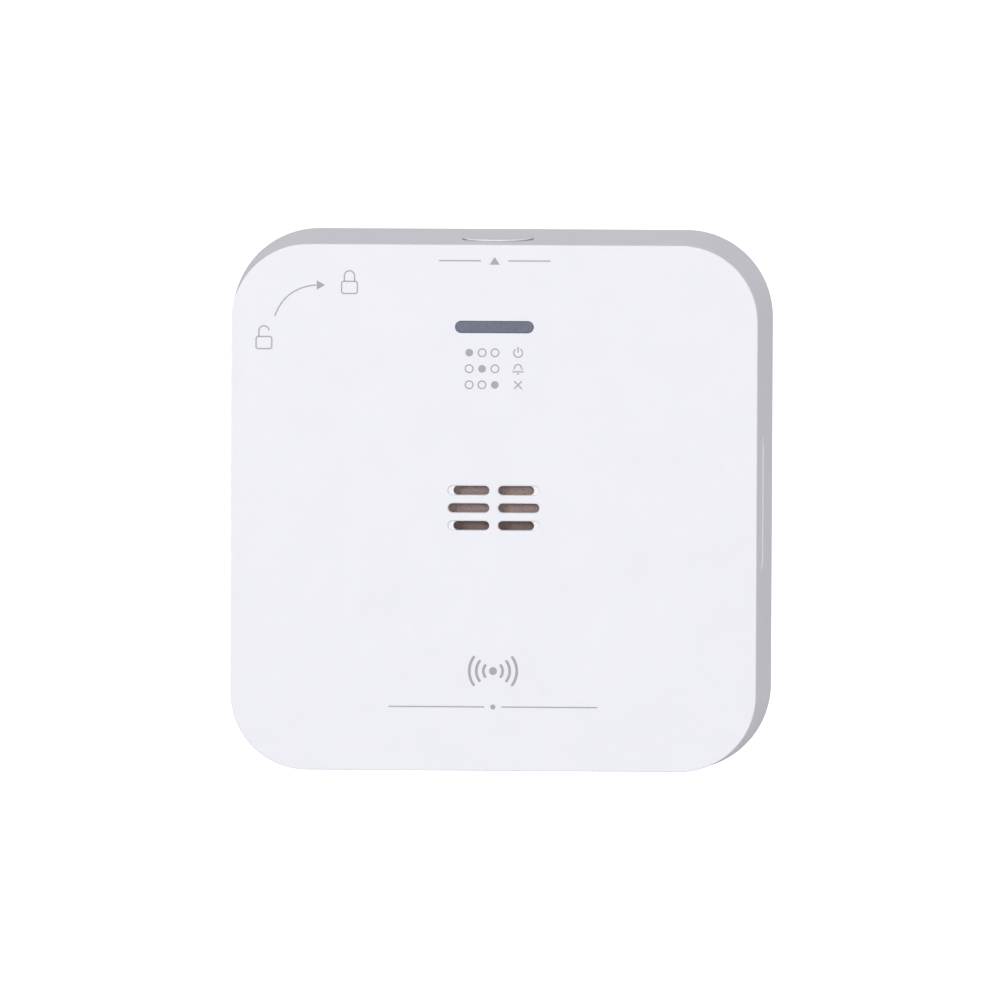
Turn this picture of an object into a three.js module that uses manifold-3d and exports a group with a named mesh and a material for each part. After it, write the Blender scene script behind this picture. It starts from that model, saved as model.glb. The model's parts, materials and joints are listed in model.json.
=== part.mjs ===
// Wall-mounted carbon monoxide detector: a square white case that twists on to a round wall plate.
// Millimetres, +Z up. Seen from the front +X is to the right, and the front faces -Y.
// Depths are distances from the wall, so a depth of d lies at y = -d. The origin is the middle of
// the plate's wall face.
import * as THREE from "three";
import { mergeVertices } from "three/addons/utils/BufferGeometryUtils.js";
import Module from "manifold-3d";

const wasm = await Module();
wasm.setup();

// ---- Driving dimensions --------------------------------------------------

// Case: the front face is a rounded square, and the sides flare out towards the wall.
const FACE_SIDE = 82;
const FACE_CORNER = 12;
const CASE_DEPTH = 33;
const CASE_BACK = 0.8;
const CASE_FLARE = 1.7;
const WALL = 2;
const CORE = FACE_SIDE / 2 - FACE_CORNER;

// Front face.
const VENT = { length: 6.4, open: 5.6, width: 1.42, pitch: 2.74, bridge: 1.4, pocket: 0.25 };
const MESH_FRAME = { width: 22, height: 14, rib: 0.8, corner: 0.5, back: 29.2 };
const BAR = { length: 12.2, width: 1.85, height: 28.2, clearance: 0.1, recess: 0.1 };

// Sides.
const BUTTON = { radius: 5.3, clearance: 0.35, depth: 21.3, rise: 0.26, flange: 7.4 };
const GRIP = { length: 20.9, width: 7.8, corner: 2.5, depth: 23.1, height: 0.7, sink: 0.35, lean: 2 };
const SWITCH_DEPTH = 19;

// Twist lock.
const PLATE = { radius: 33, thickness: 2.6, clearance: 0.6 };
const HOOK = { inner: 17.2, outer: 18.8, tip: 20.6, halfAngle: 7, under: 5.4, top: 6.8 };
const HOOK_ANGLES = [90, 210, 330];
const TWIST = 15;
const PEG = { radius: 1.2, height: 8, top: 4.9 };
const SCREW_SLOT = { offset: 25, length: 9, width: 4.4, seatWidth: 8, seatDepth: 1.2 };

// Rear cover.
const COVER_FLOOR = 2.9;
const COVER_TOP = 5.1;
const COVER_GAP = 0.35;
const CASE_SCREW_OFFSET = 33;

// Circuit board.
const BOARD = { back: 15.6, front: 17.2 };
const BOARD_EDGE = { halfWidth: 36, tabHalfWidth: 22, bottom: -15.5, shoulder: 24, top: 34.1 };
const BOARD_SCREWS = [
  [-33, -12.5],
  [33, -12.5],
  [-32, 20],
  [32, 20],
];
const SOLDER = 0.05;
// Middles of the parts on the board's front, as [x, z].
const CONTROLLER_PLACE = [-27, 5.5];
const AMPLIFIER_PLACE = [23, 16.5];
const CAPACITOR_PLACE = [-23.5, 17];
const COIL_PLACE = [-26, -6.5];

// Bought-in parts.
const LED_PITCH = 4;
const COIL = { rim: 4.2, neck: 2.2, flange: 1.2, height: 9 };
const TACT = { halfWidth: 3.1, bottom: 30.9, top: 34.1, boreFloor: 32.4, bore: 1.4 };
const SENSOR = { x: 28.3, radius: 9.5, pinCircle: 6.5, pinRadius: 0.45 };
const SOUNDER = { radius: 17, bore: 15.6, back: 17.5, front: 28.9 };
const CELL = { radius: 8.5, height: -27, depth: 15.4, left: -15.9, right: 18.8 };
const CONTACT = { half: 4, halfThickness: 0.2 };
const HOLDER = { halfLength: 21, halfWidth: 9.6, end: 1.5, back: 5.4, front: 17.4, bore: 8.8 };
const KNOB = { halfWidth: 0.9, halfHeight: 0.8, back: 9.9, front: 13.6 };

// Smoothness of curves. An arc in an outline gets twice its number of steps as straight pieces.
const CORNER_STEPS = 6;
const SLOT_STEPS = 4;
const LARGE_ROUND = 40;
const ROUND = 28;
const SMALL_ROUND = 16;
const TINY_ROUND = 12;

const THROUGH = 1; // how far a cutting shape runs past the surface it cuts
const WELD = 1e-4;

// ---- Joining and cutting -------------------------------------------------

function toSolid(geometry) {
  const bare = geometry.clone();
  bare.deleteAttribute("normal");
  bare.deleteAttribute("uv");
  const welded = mergeVertices(bare, WELD);
  const vertProperties = welded.attributes.position.array;
  const triVerts = Uint32Array.from(welded.index.array);
  return new wasm.Manifold(new wasm.Mesh({ numProp: 3, vertProperties, triVerts }));
}

function toGeometry(solid) {
  const { vertProperties, triVerts } = solid.getMesh();
  const geometry = new THREE.BufferGeometry();
  geometry.setAttribute("position", new THREE.BufferAttribute(vertProperties, 3));
  geometry.setIndex(new THREE.BufferAttribute(triVerts, 1));
  const flat = geometry.toNonIndexed();
  flat.computeVertexNormals();
  return flat;
}

function join(...geometries) {
  return toGeometry(geometries.map(toSolid).reduce((whole, piece) => whole.add(piece)));
}

function cut(body, ...tools) {
  return toGeometry(tools.map(toSolid).reduce((whole, tool) => whole.subtract(tool), toSolid(body)));
}

// ---- Outlines, drawn in x and z ------------------------------------------

function roundedRectangle(width, height, corner, x = 0, z = 0) {
  const reachX = width / 2 - corner;
  const reachZ = height / 2 - corner;
  const outline = new THREE.Shape();
  outline.absarc(x + reachX, z - reachZ, corner, -Math.PI / 2, 0);
  outline.absarc(x + reachX, z + reachZ, corner, 0, Math.PI / 2);
  outline.absarc(x - reachX, z + reachZ, corner, Math.PI / 2, Math.PI);
  outline.absarc(x - reachX, z - reachZ, corner, Math.PI, 1.5 * Math.PI);
  return outline;
}

// A slot with round ends. A slot is taken along x unless it is said to be upright.
function roundEnded(length, width, x = 0, z = 0, isUpright = false) {
  const reach = (length - width) / 2;
  const lean = isUpright ? Math.PI / 2 : 0;
  const stepX = isUpright ? 0 : reach;
  const stepZ = isUpright ? reach : 0;
  const outline = new THREE.Shape();
  outline.absarc(x + stepX, z + stepZ, width / 2, lean - Math.PI / 2, lean + Math.PI / 2);
  outline.absarc(x - stepX, z - stepZ, width / 2, lean + Math.PI / 2, lean + 1.5 * Math.PI);
  return outline;
}

// Part of a ring about the origin, between two angles in degrees.
function ringSector(inner, outer, start, end) {
  const from = THREE.MathUtils.degToRad(start);
  const to = THREE.MathUtils.degToRad(end);
  const outline = new THREE.Shape();
  outline.absarc(0, 0, outer, from, to, false);
  outline.absarc(0, 0, inner, to, from, true);
  return outline;
}

// ---- Solid shapes --------------------------------------------------------

// An outline raised from one depth to another.
function slab(outline, from, to, curveSegments = SLOT_STEPS) {
  const options = { depth: to - from, bevelEnabled: false, curveSegments };
  return new THREE.ExtrudeGeometry(outline, options).translate(0, 0, from).rotateX(Math.PI / 2);
}

function block(left, right, bottom, top, from, to) {
  const box = new THREE.BoxGeometry(right - left, to - from, top - bottom);
  return box.translate((left + right) / 2, -(from + to) / 2, (bottom + top) / 2);
}

// A round bar that stands out from the wall.
function post(radius, from, to, x = 0, z = 0, sides = SMALL_ROUND) {
  return new THREE.CylinderGeometry(radius, radius, to - from, sides).translate(x, -(from + to) / 2, z);
}

function tube(outer, inner, from, to, sides = ROUND) {
  return cut(post(outer, from, to, 0, 0, sides), post(inner, from - THROUGH, to + THROUGH, 0, 0, sides));
}

// A profile of [radius, depth] points turned about a line that stands out from the wall.
function turned(profile, sides = SMALL_ROUND) {
  const points = profile.map(([radius, depth]) => new THREE.Vector2(radius, -depth));
  return new THREE.LatheGeometry(points.reverse(), sides);
}

// A profile of [radius, height] points turned about a vertical line.
function turnedUpright(profile, sides = SMALL_ROUND) {
  const points = profile.map(([radius, height]) => new THREE.Vector2(radius, height));
  return new THREE.LatheGeometry(points, sides).rotateX(Math.PI / 2);
}

// A round wire along a curve.
function wire(radius, path, steps) {
  const section = new THREE.Shape();
  section.absarc(0, 0, radius, 0, 2 * Math.PI);
  return new THREE.ExtrudeGeometry(section, { steps, extrudePath: path, curveSegments: 3 });
}

// A coil about the x axis that may change its radius along the way.
class Coil extends THREE.Curve {
  constructor(startRadius, endRadius, length, turns) {
    super();
    Object.assign(this, { startRadius, endRadius, length, turns });
  }

  getPoint(t, target = new THREE.Vector3()) {
    const angle = 2 * Math.PI * this.turns * t;
    const radius = THREE.MathUtils.lerp(this.startRadius, this.endRadius, t);
    return target.set(this.length * t, radius * Math.cos(angle), radius * Math.sin(angle));
  }
}

function coil(wireRadius, startRadius, endRadius, length, turns) {
  const stepsPerTurn = 10;
  const path = new Coil(startRadius, endRadius, length, turns);
  return wire(wireRadius, path, stepsPerTurn * turns);
}

// Corner radius of the case's outside at a depth: the sides grow by the same amount all round.
function caseCorner(depth) {
  return FACE_CORNER + (CASE_FLARE * (CASE_DEPTH - depth)) / (CASE_DEPTH - CASE_BACK);
}

// Height of the case's top side above its middle at a depth.
function caseTop(depth) {
  return CORE + caseCorner(depth);
}

// A solid that follows the flared sides of the case, set in from them by a fixed distance.
function flared(from, to, inset) {
  const geometry = slab(roundedRectangle(FACE_SIDE, FACE_SIDE, FACE_CORNER), from, to, CORNER_STEPS);
  const at = geometry.attributes.position;
  for (let i = 0; i < at.count; i++) {
    const spread = (caseCorner(-at.getY(i)) - inset) / FACE_CORNER;
    const coreX = THREE.MathUtils.clamp(at.getX(i), -CORE, CORE);
    const coreZ = THREE.MathUtils.clamp(at.getZ(i), -CORE, CORE);
    at.setX(i, coreX + (at.getX(i) - coreX) * spread);
    at.setZ(i, coreZ + (at.getZ(i) - coreZ) * spread);
  }
  return geometry;
}

// ---- Materials -----------------------------------------------------------

const material = (color, roughness, metalness = 0) => () =>
  new THREE.MeshStandardMaterial({ color, roughness, metalness });

const whitePlastic = material(0xf1f2f7, 0.45);
const buttonPlastic = material(0xeeeff4, 0.42);
const slatePlastic = material(0x74788a, 0.35);
const blackPlastic = material(0x1d1e21, 0.5);
const greyPlastic = material(0x5c5e63, 0.5);
const ivoryPlastic = material(0xd9d3c4, 0.5);
const meshCloth = material(0x9a8a80, 0.8);
const charcoalFelt = material(0x26272a, 0.95);
const brass = material(0xc9a24e, 0.35, 1);
const ceramic = material(0xe3dfd5, 0.6);
const steel = material(0xb9bcc0, 0.35, 1);
const nickel = material(0xc6c4bd, 0.3, 1);
const copperWire = material(0xa9552c, 0.45, 1);
const ferrite = material(0x3a3a3e, 0.7);
const boardGreen = material(0x1f5c3a, 0.5);
const chipBlack = material(0x18191b, 0.6);
const sleeveBlue = material(0x2c3e66, 0.45);
const greenLens = material(0x3fae5a, 0.2);
const redLens = material(0xc2372e, 0.2);
const yellowLens = material(0xd9b02c, 0.2);
const redCable = material(0xb3261e, 0.55);
const blackCable = material(0x1a1a1c, 0.55);

// ---- Scene graph helpers -------------------------------------------------

function group(parent, x = 0, z = 0, depth = 0) {
  const made = new THREE.Group();
  made.position.set(x, -depth, z);
  parent.add(made);
  return made;
}

function place(parent, name, geometry, finish, x = 0, z = 0, depth = 0) {
  const mesh = new THREE.Mesh(geometry, finish());
  mesh.name = name;
  mesh.position.set(x, -depth, z);
  parent.add(mesh);
  return mesh;
}

// ---- Mounting plate ------------------------------------------------------

// A bayonet hook: a stem through the rear cover with a lip that points away from the centre.
function hookShapes(angle) {
  const start = angle - HOOK.halfAngle;
  const end = angle + HOOK.halfAngle;
  const root = PLATE.thickness - THROUGH;
  return [
    slab(ringSector(HOOK.inner, HOOK.outer, start, end), root, HOOK.top),
    slab(ringSector(HOOK.inner, HOOK.tip, start, end), HOOK.under, HOOK.top),
  ];
}

// Shallow pockets in the wall face with ribs between them; the rim, the middle and the ground round
// the screw slots stay full thickness.
function plateReliefCutters() {
  const relief = { inner: 20.5, outer: 31, depth: 0.9, span: 32 };
  const pocketStarts = [20, 56, 92, 128];
  return [0, 180].flatMap((turn) =>
    pocketStarts.map((angle) => {
      const start = angle + turn;
      return slab(ringSector(relief.inner, relief.outer, start, start + relief.span), -THROUGH, relief.depth);
    }),
  );
}

// The slot for a wall screw and the wider seat round it for the screw's head.
function screwSlotCutters(x, isUpright) {
  const { length, width, seatWidth, seatDepth } = SCREW_SLOT;
  const seatLength = length + seatWidth - width;
  const seatFloor = PLATE.thickness - seatDepth;
  return [
    slab(roundEnded(length, width, x, 0, isUpright), -THROUGH, PLATE.thickness + THROUGH),
    slab(roundEnded(seatLength, seatWidth, x, 0, isUpright), seatFloor, PLATE.thickness + THROUGH),
  ];
}

function mountingPlate() {
  const disc = post(PLATE.radius, 0, PLATE.thickness, 0, 0, LARGE_ROUND);
  const slotted = cut(
    disc,
    ...screwSlotCutters(-SCREW_SLOT.offset, false),
    ...screwSlotCutters(SCREW_SLOT.offset, true),
    ...plateReliefCutters(),
  );
  const peg = post(PEG.radius, PLATE.thickness - THROUGH, PEG.top, 0, PEG.height, TINY_ROUND);
  return join(slotted, peg, ...HOOK_ANGLES.flatMap(hookShapes));
}

// ---- Case ----------------------------------------------------------------

function ventCutters() {
  const inner = VENT.bridge / 2;
  return [-1, 0, 1].flatMap((row) =>
    [-1, 1].flatMap((side) => {
      const open = row === 0 ? VENT.length : VENT.open;
      const z = row * VENT.pitch;
      const front = CASE_DEPTH + THROUGH;
      const holeX = side * (inner + open / 2);
      const pocketX = side * (inner + VENT.length / 2);
      const hole = slab(roundEnded(open, VENT.width, holeX, z), CASE_DEPTH - WALL - THROUGH, front);
      const pocket = slab(roundEnded(VENT.length, VENT.width, pocketX, z), CASE_DEPTH - VENT.pocket, front);
      return row === 0 ? [hole] : [hole, pocket];
    }),
  );
}

function barWindow() {
  const length = BAR.length + 2 * BAR.clearance;
  const width = BAR.width + 2 * BAR.clearance;
  const outline = roundEnded(length, width, 0, BAR.height);
  return slab(outline, CASE_DEPTH - WALL - THROUGH, CASE_DEPTH + THROUGH);
}

function buttonHole() {
  const radius = BUTTON.radius + BUTTON.clearance;
  const bottom = FACE_SIDE / 2 - 2 * WALL;
  const top = FACE_SIDE / 2 + 2 * WALL;
  return turnedUpright([[0, bottom], [radius, bottom], [radius, top], [0, top]], ROUND)
    .translate(0, -BUTTON.depth, 0);
}

// A shallow grip recess in one side of the case. Its floor leans a little further forward than the
// flared side does, so the recess is deepest at its front end.
function gripCutter(side) {
  const reach = 4;
  const lean = Math.atan(CASE_FLARE / (CASE_DEPTH - CASE_BACK)) + THREE.MathUtils.degToRad(GRIP.lean);
  const outline = roundedRectangle(GRIP.width, GRIP.length, GRIP.corner);
  const facing = slab(outline, -GRIP.sink, reach).rotateZ(side * (Math.PI / 2 - lean));
  return facing.translate(side * caseTop(GRIP.depth), -GRIP.depth, GRIP.height);
}

// Gaps in the frame round the vent mesh, through which air from the vents spreads into the case.
function meshFrameGaps() {
  const gap = { halfWidth: 2.5, inner: 9, outer: 12 };
  const cutter = (left, right) =>
    block(left, right, -gap.halfWidth, gap.halfWidth, MESH_FRAME.back - THROUGH, CASE_DEPTH - WALL);
  return [cutter(-gap.outer, -gap.inner), cutter(gap.inner, gap.outer)];
}

function caseCorners() {
  return [-1, 1].flatMap((left) => [-1, 1].map((low) => [left * CASE_SCREW_OFFSET, low * CASE_SCREW_OFFSET]));
}

function frontCover() {
  const bossRadius = 3.4;
  const boreRadius = 1.55;
  const boreEnd = 20;
  const bossBack = COVER_TOP + 0.3;
  const sounderRing = { outer: 18.6, inner: 17.4, back: 26 };
  const front = CASE_DEPTH - WALL + THROUGH / 2;

  const shell = cut(flared(CASE_BACK, CASE_DEPTH, 0), flared(CASE_BACK - THROUGH, CASE_DEPTH - WALL, WALL));
  const { width, height, rib, corner, back } = MESH_FRAME;
  const frame = cut(
    slab(roundedRectangle(width, height, corner), back, front),
    slab(roundedRectangle(width - 2 * rib, height - 2 * rib, corner), back - THROUGH, front + THROUGH),
  );
  const ring = tube(sounderRing.outer, sounderRing.inner, sounderRing.back, front, LARGE_ROUND);
  const bosses = caseCorners().map(([x, z]) => post(bossRadius, bossBack, front, x, z));
  const bores = caseCorners().map(([x, z]) =>
    post(boreRadius, bossBack - THROUGH, boreEnd, x, z, TINY_ROUND),
  );
  return cut(
    join(shell, frame, ring, ...bosses),
    ...bores,
    ...ventCutters(),
    barWindow(),
    buttonHole(),
    gripCutter(-1),
    gripCutter(1),
    ...meshFrameGaps(),
  );
}

// The way a hook takes through the rear cover: wide where it enters, narrow where it locks.
function hookWayCutters(angle) {
  const slack = 1;
  const play = 0.4;
  const start = angle - TWIST - HOOK.halfAngle - slack;
  const end = angle + HOOK.halfAngle + slack;
  const entryEnd = angle - TWIST + HOOK.halfAngle + slack / 2;
  const from = COVER_FLOOR - THROUGH;
  const to = COVER_TOP + THROUGH;
  return [
    slab(ringSector(HOOK.inner - play, HOOK.outer + play, start, end), from, to),
    slab(ringSector(HOOK.inner - play, HOOK.tip + play, start, entryEnd), from, to),
  ];
}

// Two rails with lips that hold the activation slider down.
function sliderRails() {
  const rail = { left: -8, right: 10, inner: 3, outer: 3.8, top: 8.5, lip: 0.7, lipBack: 7.8 };
  const root = COVER_TOP - THROUGH;
  return [
    block(rail.left, rail.right, PEG.height + rail.inner, PEG.height + rail.outer, root, rail.top),
    block(rail.left, rail.right, PEG.height - rail.outer, PEG.height - rail.inner, root, rail.top),
    block(
      rail.left,
      rail.right,
      PEG.height + rail.inner - rail.lip,
      PEG.height + rail.outer,
      rail.lipBack,
      rail.top,
    ),
    block(
      rail.left,
      rail.right,
      PEG.height - rail.outer,
      PEG.height - rail.inner + rail.lip,
      rail.lipBack,
      rail.top,
    ),
  ];
}

function rearCover() {
  const rimBack = 1.2;
  const boardPost = { radius: 3, top: BOARD.back - 0.3, bore: 1, boreFloor: 8 };
  const screw = { hole: 1.7, seat: 3.3, seatFloor: 3.4 };
  const opening = { left: -2.95, right: 5.05, bottom: 6, top: 10 };

  const body = flared(rimBack, COVER_TOP, WALL + COVER_GAP);
  const recess = post(PLATE.radius + PLATE.clearance, 0, COVER_FLOOR, 0, 0, LARGE_ROUND);
  const { radius, top, bore, boreFloor } = boardPost;
  const boardPosts = BOARD_SCREWS.map(([x, z]) => post(radius, COVER_TOP - THROUGH, top, x, z));
  const boardBores = BOARD_SCREWS.map(([x, z]) => post(bore, boreFloor, top + THROUGH, x, z, TINY_ROUND));
  const screwHoles = caseCorners().flatMap(([x, z]) => [
    post(screw.hole, 0, COVER_TOP + THROUGH, x, z, TINY_ROUND),
    post(screw.seat, 0, screw.seatFloor, x, z),
  ]);
  return cut(
    join(cut(body, recess), ...boardPosts, ...sliderRails()),
    ...boardBores,
    ...screwHoles,
    ...HOOK_ANGLES.flatMap(hookWayCutters),
    block(opening.left, opening.right, opening.bottom, opening.top, 0, COVER_TOP + THROUGH),
  );
}

// ---- Light pipe, vent mesh and button ------------------------------------

function lightPipe() {
  const flange = { length: 15, width: 4, back: 29.5, front: 30.7 };
  const leg = { radius: 1.3, back: 23.4 };
  const bar = slab(
    roundEnded(BAR.length, BAR.width, 0, BAR.height),
    flange.back,
    CASE_DEPTH - BAR.recess,
  );
  const plate = slab(roundEnded(flange.length, flange.width, 0, BAR.height), flange.back, flange.front);
  const legs = [-1, 0, 1].map((step) =>
    post(leg.radius, leg.back, flange.front, step * LED_PITCH, BAR.height, TINY_ROUND),
  );
  return join(bar, plate, ...legs);
}

// Stiff dust cloth behind the vents. It steps back behind the lowest row of slots.
function ventMesh() {
  const thickness = 0.5;
  const halfWidth = 10;
  const halfHeight = 6;
  const front = 30.7;
  const stepBack = 29.8;
  const stepHeight = -1.5;
  return join(
    block(-halfWidth, halfWidth, stepHeight, halfHeight, front - thickness, front),
    block(-halfWidth, halfWidth, stepHeight - thickness, stepHeight, stepBack - thickness, front),
    block(-halfWidth, halfWidth, -halfHeight, stepHeight - thickness, stepBack - thickness, stepBack),
  );
}

// Round cap with a flange that keeps it in the case, and a stem whose foot rests on the switch
// plunger. The cap's top is parallel to the sloping top side of the case.
function testButton() {
  const foot = 36;
  const flangeBottom = 38;
  const flangeTop = 38.8;
  const edge = 0.4;
  const stem = 1.8;
  const top = caseTop(BUTTON.depth) + BUTTON.rise;
  const cap = turnedUpright(
    [
      [0, flangeBottom],
      [BUTTON.flange, flangeBottom],
      [BUTTON.flange, flangeTop],
      [BUTTON.radius, flangeTop],
      [BUTTON.radius, top - edge],
      [BUTTON.radius - edge, top],
      [0, top],
    ],
    ROUND,
  );
  const slope = CASE_FLARE / (CASE_DEPTH - CASE_BACK);
  const at = cap.attributes.position;
  for (let i = 0; i < at.count; i++) {
    const sloping = at.getZ(i) > flangeTop + edge;
    at.setZ(i, at.getZ(i) + (sloping ? slope * at.getY(i) : 0));
  }
  const bar = turnedUpright([[0, foot], [stem, foot], [stem, flangeTop - edge], [0, flangeTop - edge]]);
  return join(cap, bar.translate(0, BUTTON.depth - SWITCH_DEPTH, 0));
}

// ---- Circuit board and what is soldered to it -----------------------------

function boardOutline() {
  const slope = 4;
  const corner = 1.5;
  const { halfWidth, tabHalfWidth, bottom, shoulder, top } = BOARD_EDGE;
  const outline = new THREE.Shape();
  outline.moveTo(-halfWidth + corner, bottom);
  outline.lineTo(halfWidth - corner, bottom);
  outline.lineTo(halfWidth, bottom + corner);
  outline.lineTo(halfWidth, shoulder);
  outline.lineTo(tabHalfWidth + slope, shoulder);
  outline.lineTo(tabHalfWidth, shoulder + slope);
  outline.lineTo(tabHalfWidth, top);
  outline.lineTo(-tabHalfWidth, top);
  outline.lineTo(-tabHalfWidth, shoulder + slope);
  outline.lineTo(-tabHalfWidth - slope, shoulder);
  outline.lineTo(-halfWidth, shoulder);
  outline.lineTo(-halfWidth, bottom + corner);
  return outline;
}

function pinPlaces() {
  return [90, 210, 330].map((degrees) => {
    const angle = THREE.MathUtils.degToRad(degrees);
    return [SENSOR.pinCircle * Math.cos(angle), SENSOR.pinCircle * Math.sin(angle)];
  });
}

function circuitBoard() {
  const screwHole = 1.5;
  const pinHole = 0.65;
  const hole = (radius, x, z) => post(radius, BOARD.back - THROUGH, BOARD.front + THROUGH, x, z, TINY_ROUND);
  return cut(
    slab(boardOutline(), BOARD.back, BOARD.front),
    ...BOARD_SCREWS.map(([x, z]) => hole(screwHole, x, z)),
    ...pinPlaces().map(([x, z]) => hole(pinHole, SENSOR.x + x, z)),
  );
}

function led() {
  const collar = { radius: 1.7, height: 0.9 };
  const lens = { radius: 1.5, shoulder: 3.8 };
  const profile = [
    [0, 0],
    [collar.radius, 0],
    [collar.radius, collar.height],
    [lens.radius, collar.height],
    [lens.radius, lens.shoulder],
  ];
  const domeSteps = 4;
  for (let step = 1; step <= domeSteps; step++) {
    const angle = (step / domeSteps) * (Math.PI / 2);
    const radius = step === domeSteps ? 0 : lens.radius * Math.cos(angle);
    profile.push([radius, lens.shoulder + lens.radius * Math.sin(angle)]);
  }
  return turned(profile, TINY_ROUND);
}

// Chip with its legs left and right.
function chip(width, height, thickness, legCount) {
  const leg = { width: 0.4, reach: 0.9, thickness: 0.25 };
  const standOff = 0.1;
  const body = block(-width / 2, width / 2, -height / 2, height / 2, standOff, thickness);
  const reach = width / 2 + leg.reach;
  const legs = Array.from({ length: legCount }, (_, i) => {
    const z = height * ((i + 0.5) / legCount - 0.5);
    return block(-reach, reach, z - leg.width / 2, z + leg.width / 2, 0, leg.thickness);
  });
  return join(body, ...legs);
}

function capacitor() {
  const can = { radius: 3.15, height: 7.4 };
  const foot = { radius: 3.1, height: 0.4 };
  const crimp = { radius: 2.8, from: 6.9, to: 7.3 };
  return turned([
    [0, 0],
    [foot.radius, 0],
    [can.radius, foot.height],
    [can.radius, crimp.from],
    [crimp.radius, crimp.to],
    [crimp.radius, can.height],
    [0, can.height],
  ]);
}

function coilCore() {
  const { rim, neck, flange, height } = COIL;
  return turned([
    [0, 0],
    [rim, 0],
    [rim, flange],
    [neck, flange],
    [neck, height - flange],
    [rim, height - flange],
    [rim, height],
    [0, height],
  ]);
}

function coilWinding() {
  const gap = 0.2;
  const outer = 3.8;
  return tube(outer, COIL.neck + gap, COIL.flange + gap, COIL.height - COIL.flange - gap);
}

function tactSwitchBody() {
  const { halfWidth, bottom, top, boreFloor, bore } = TACT;
  const thickness = 2 * (SWITCH_DEPTH - BOARD.front);
  const body = block(-halfWidth, halfWidth, bottom, top, BOARD.front + SOLDER, BOARD.front + thickness);
  const above = top + THROUGH;
  const hole = turnedUpright([[0, boreFloor], [bore, boreFloor], [bore, above], [0, above]], TINY_ROUND);
  return cut(body, hole.translate(0, -SWITCH_DEPTH, 0));
}

function tactSwitchPlunger() {
  const radius = 1.2;
  const bottom = 33.2;
  const top = 35.95;
  const edge = 0.2;
  const profile = [[0, bottom], [radius, bottom], [radius, top - edge], [radius - edge, top], [0, top]];
  return turnedUpright(profile, TINY_ROUND);
}

// ---- Sounder -------------------------------------------------------------

function sounderHousing() {
  const { radius, bore, back, front } = SOUNDER;
  const ledge = { inner: 13, back: 22.3, front: 23.3 };
  const roof = front - 1.5;
  const outlet = 4.5;
  const edge = 0.5;
  const profile = [
    [bore, back],
    [radius, back],
    [radius, front - edge],
    [radius - edge, front],
    [outlet, front],
    [outlet, roof],
    [bore, roof],
    [bore, ledge.front],
    [ledge.inner, ledge.front],
    [ledge.inner, ledge.back],
    [bore, ledge.back],
    [bore, back],
  ];
  return turned(profile, LARGE_ROUND);
}

function buildSounder(parent) {
  const sounder = group(parent);
  place(sounder, "sounder_housing", sounderHousing(), blackPlastic);
  const ring = { outer: 15.4, inner: 12.6, back: 20.4, front: 21.7 };
  const disc = { radius: 14.6, back: 21.95, front: 22.2 };
  const layer = { radius: 9, back: 21.65, front: 21.9 };
  const ringShape = tube(ring.outer, ring.inner, ring.back, ring.front, LARGE_ROUND);
  place(sounder, "sounder_retaining_ring", ringShape, greyPlastic);
  place(sounder, "piezo_disc", post(disc.radius, disc.back, disc.front, 0, 0, LARGE_ROUND), brass);
  place(sounder, "piezo_ceramic", post(layer.radius, layer.back, layer.front, 0, 0, ROUND), ceramic);

  // Springs press on the ceramic, on the disc beside it and on the ceramic's lower part.
  const gap = 0.3;
  const spring = { wire: 0.2, radius: 0.9, turns: 4, back: BOARD.front + gap };
  const springs = [
    ["sounder_spring_signal", 0, 0, layer.back - gap],
    ["sounder_spring_common", 10.8, 0, disc.back - gap],
    ["sounder_spring_feedback", 0, -6, layer.back - gap],
  ];
  for (const [name, x, z, front] of springs) {
    const length = front - spring.back;
    const shape = coil(spring.wire, spring.radius, spring.radius, length, spring.turns);
    place(sounder, name, shape.rotateZ(-Math.PI / 2), steel, x, z, spring.back);
  }
}

// ---- Gas sensor ----------------------------------------------------------

function sensorCan() {
  const { radius } = SENSOR;
  const skin = 0.5;
  const back = 18;
  const front = 25;
  const inlet = 2.2;
  const bend = { outer: 0.6, inner: 0.5 };
  const inside = { radius: radius - skin, front: front - skin };
  return turned(
    [
      [inside.radius, back],
      [radius, back],
      [radius, front - bend.outer],
      [radius - bend.outer, front],
      [inlet, front],
      [inlet, inside.front],
      [inside.radius - bend.inner, inside.front],
      [inside.radius, inside.front - bend.inner],
      [inside.radius, back],
    ],
    ROUND,
  );
}

function sensorCap() {
  const outer = 8.6;
  const inner = 7.4;
  const inlet = 3;
  const back = 25.1;
  const front = 27.4;
  const roof = 26.8;
  const edge = 0.5;
  return turned(
    [
      [inner, back],
      [outer, back],
      [outer, front - edge],
      [outer - edge, front],
      [inlet, front],
      [inlet, roof],
      [inner, roof],
      [inner, back],
    ],
    ROUND,
  );
}

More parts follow.
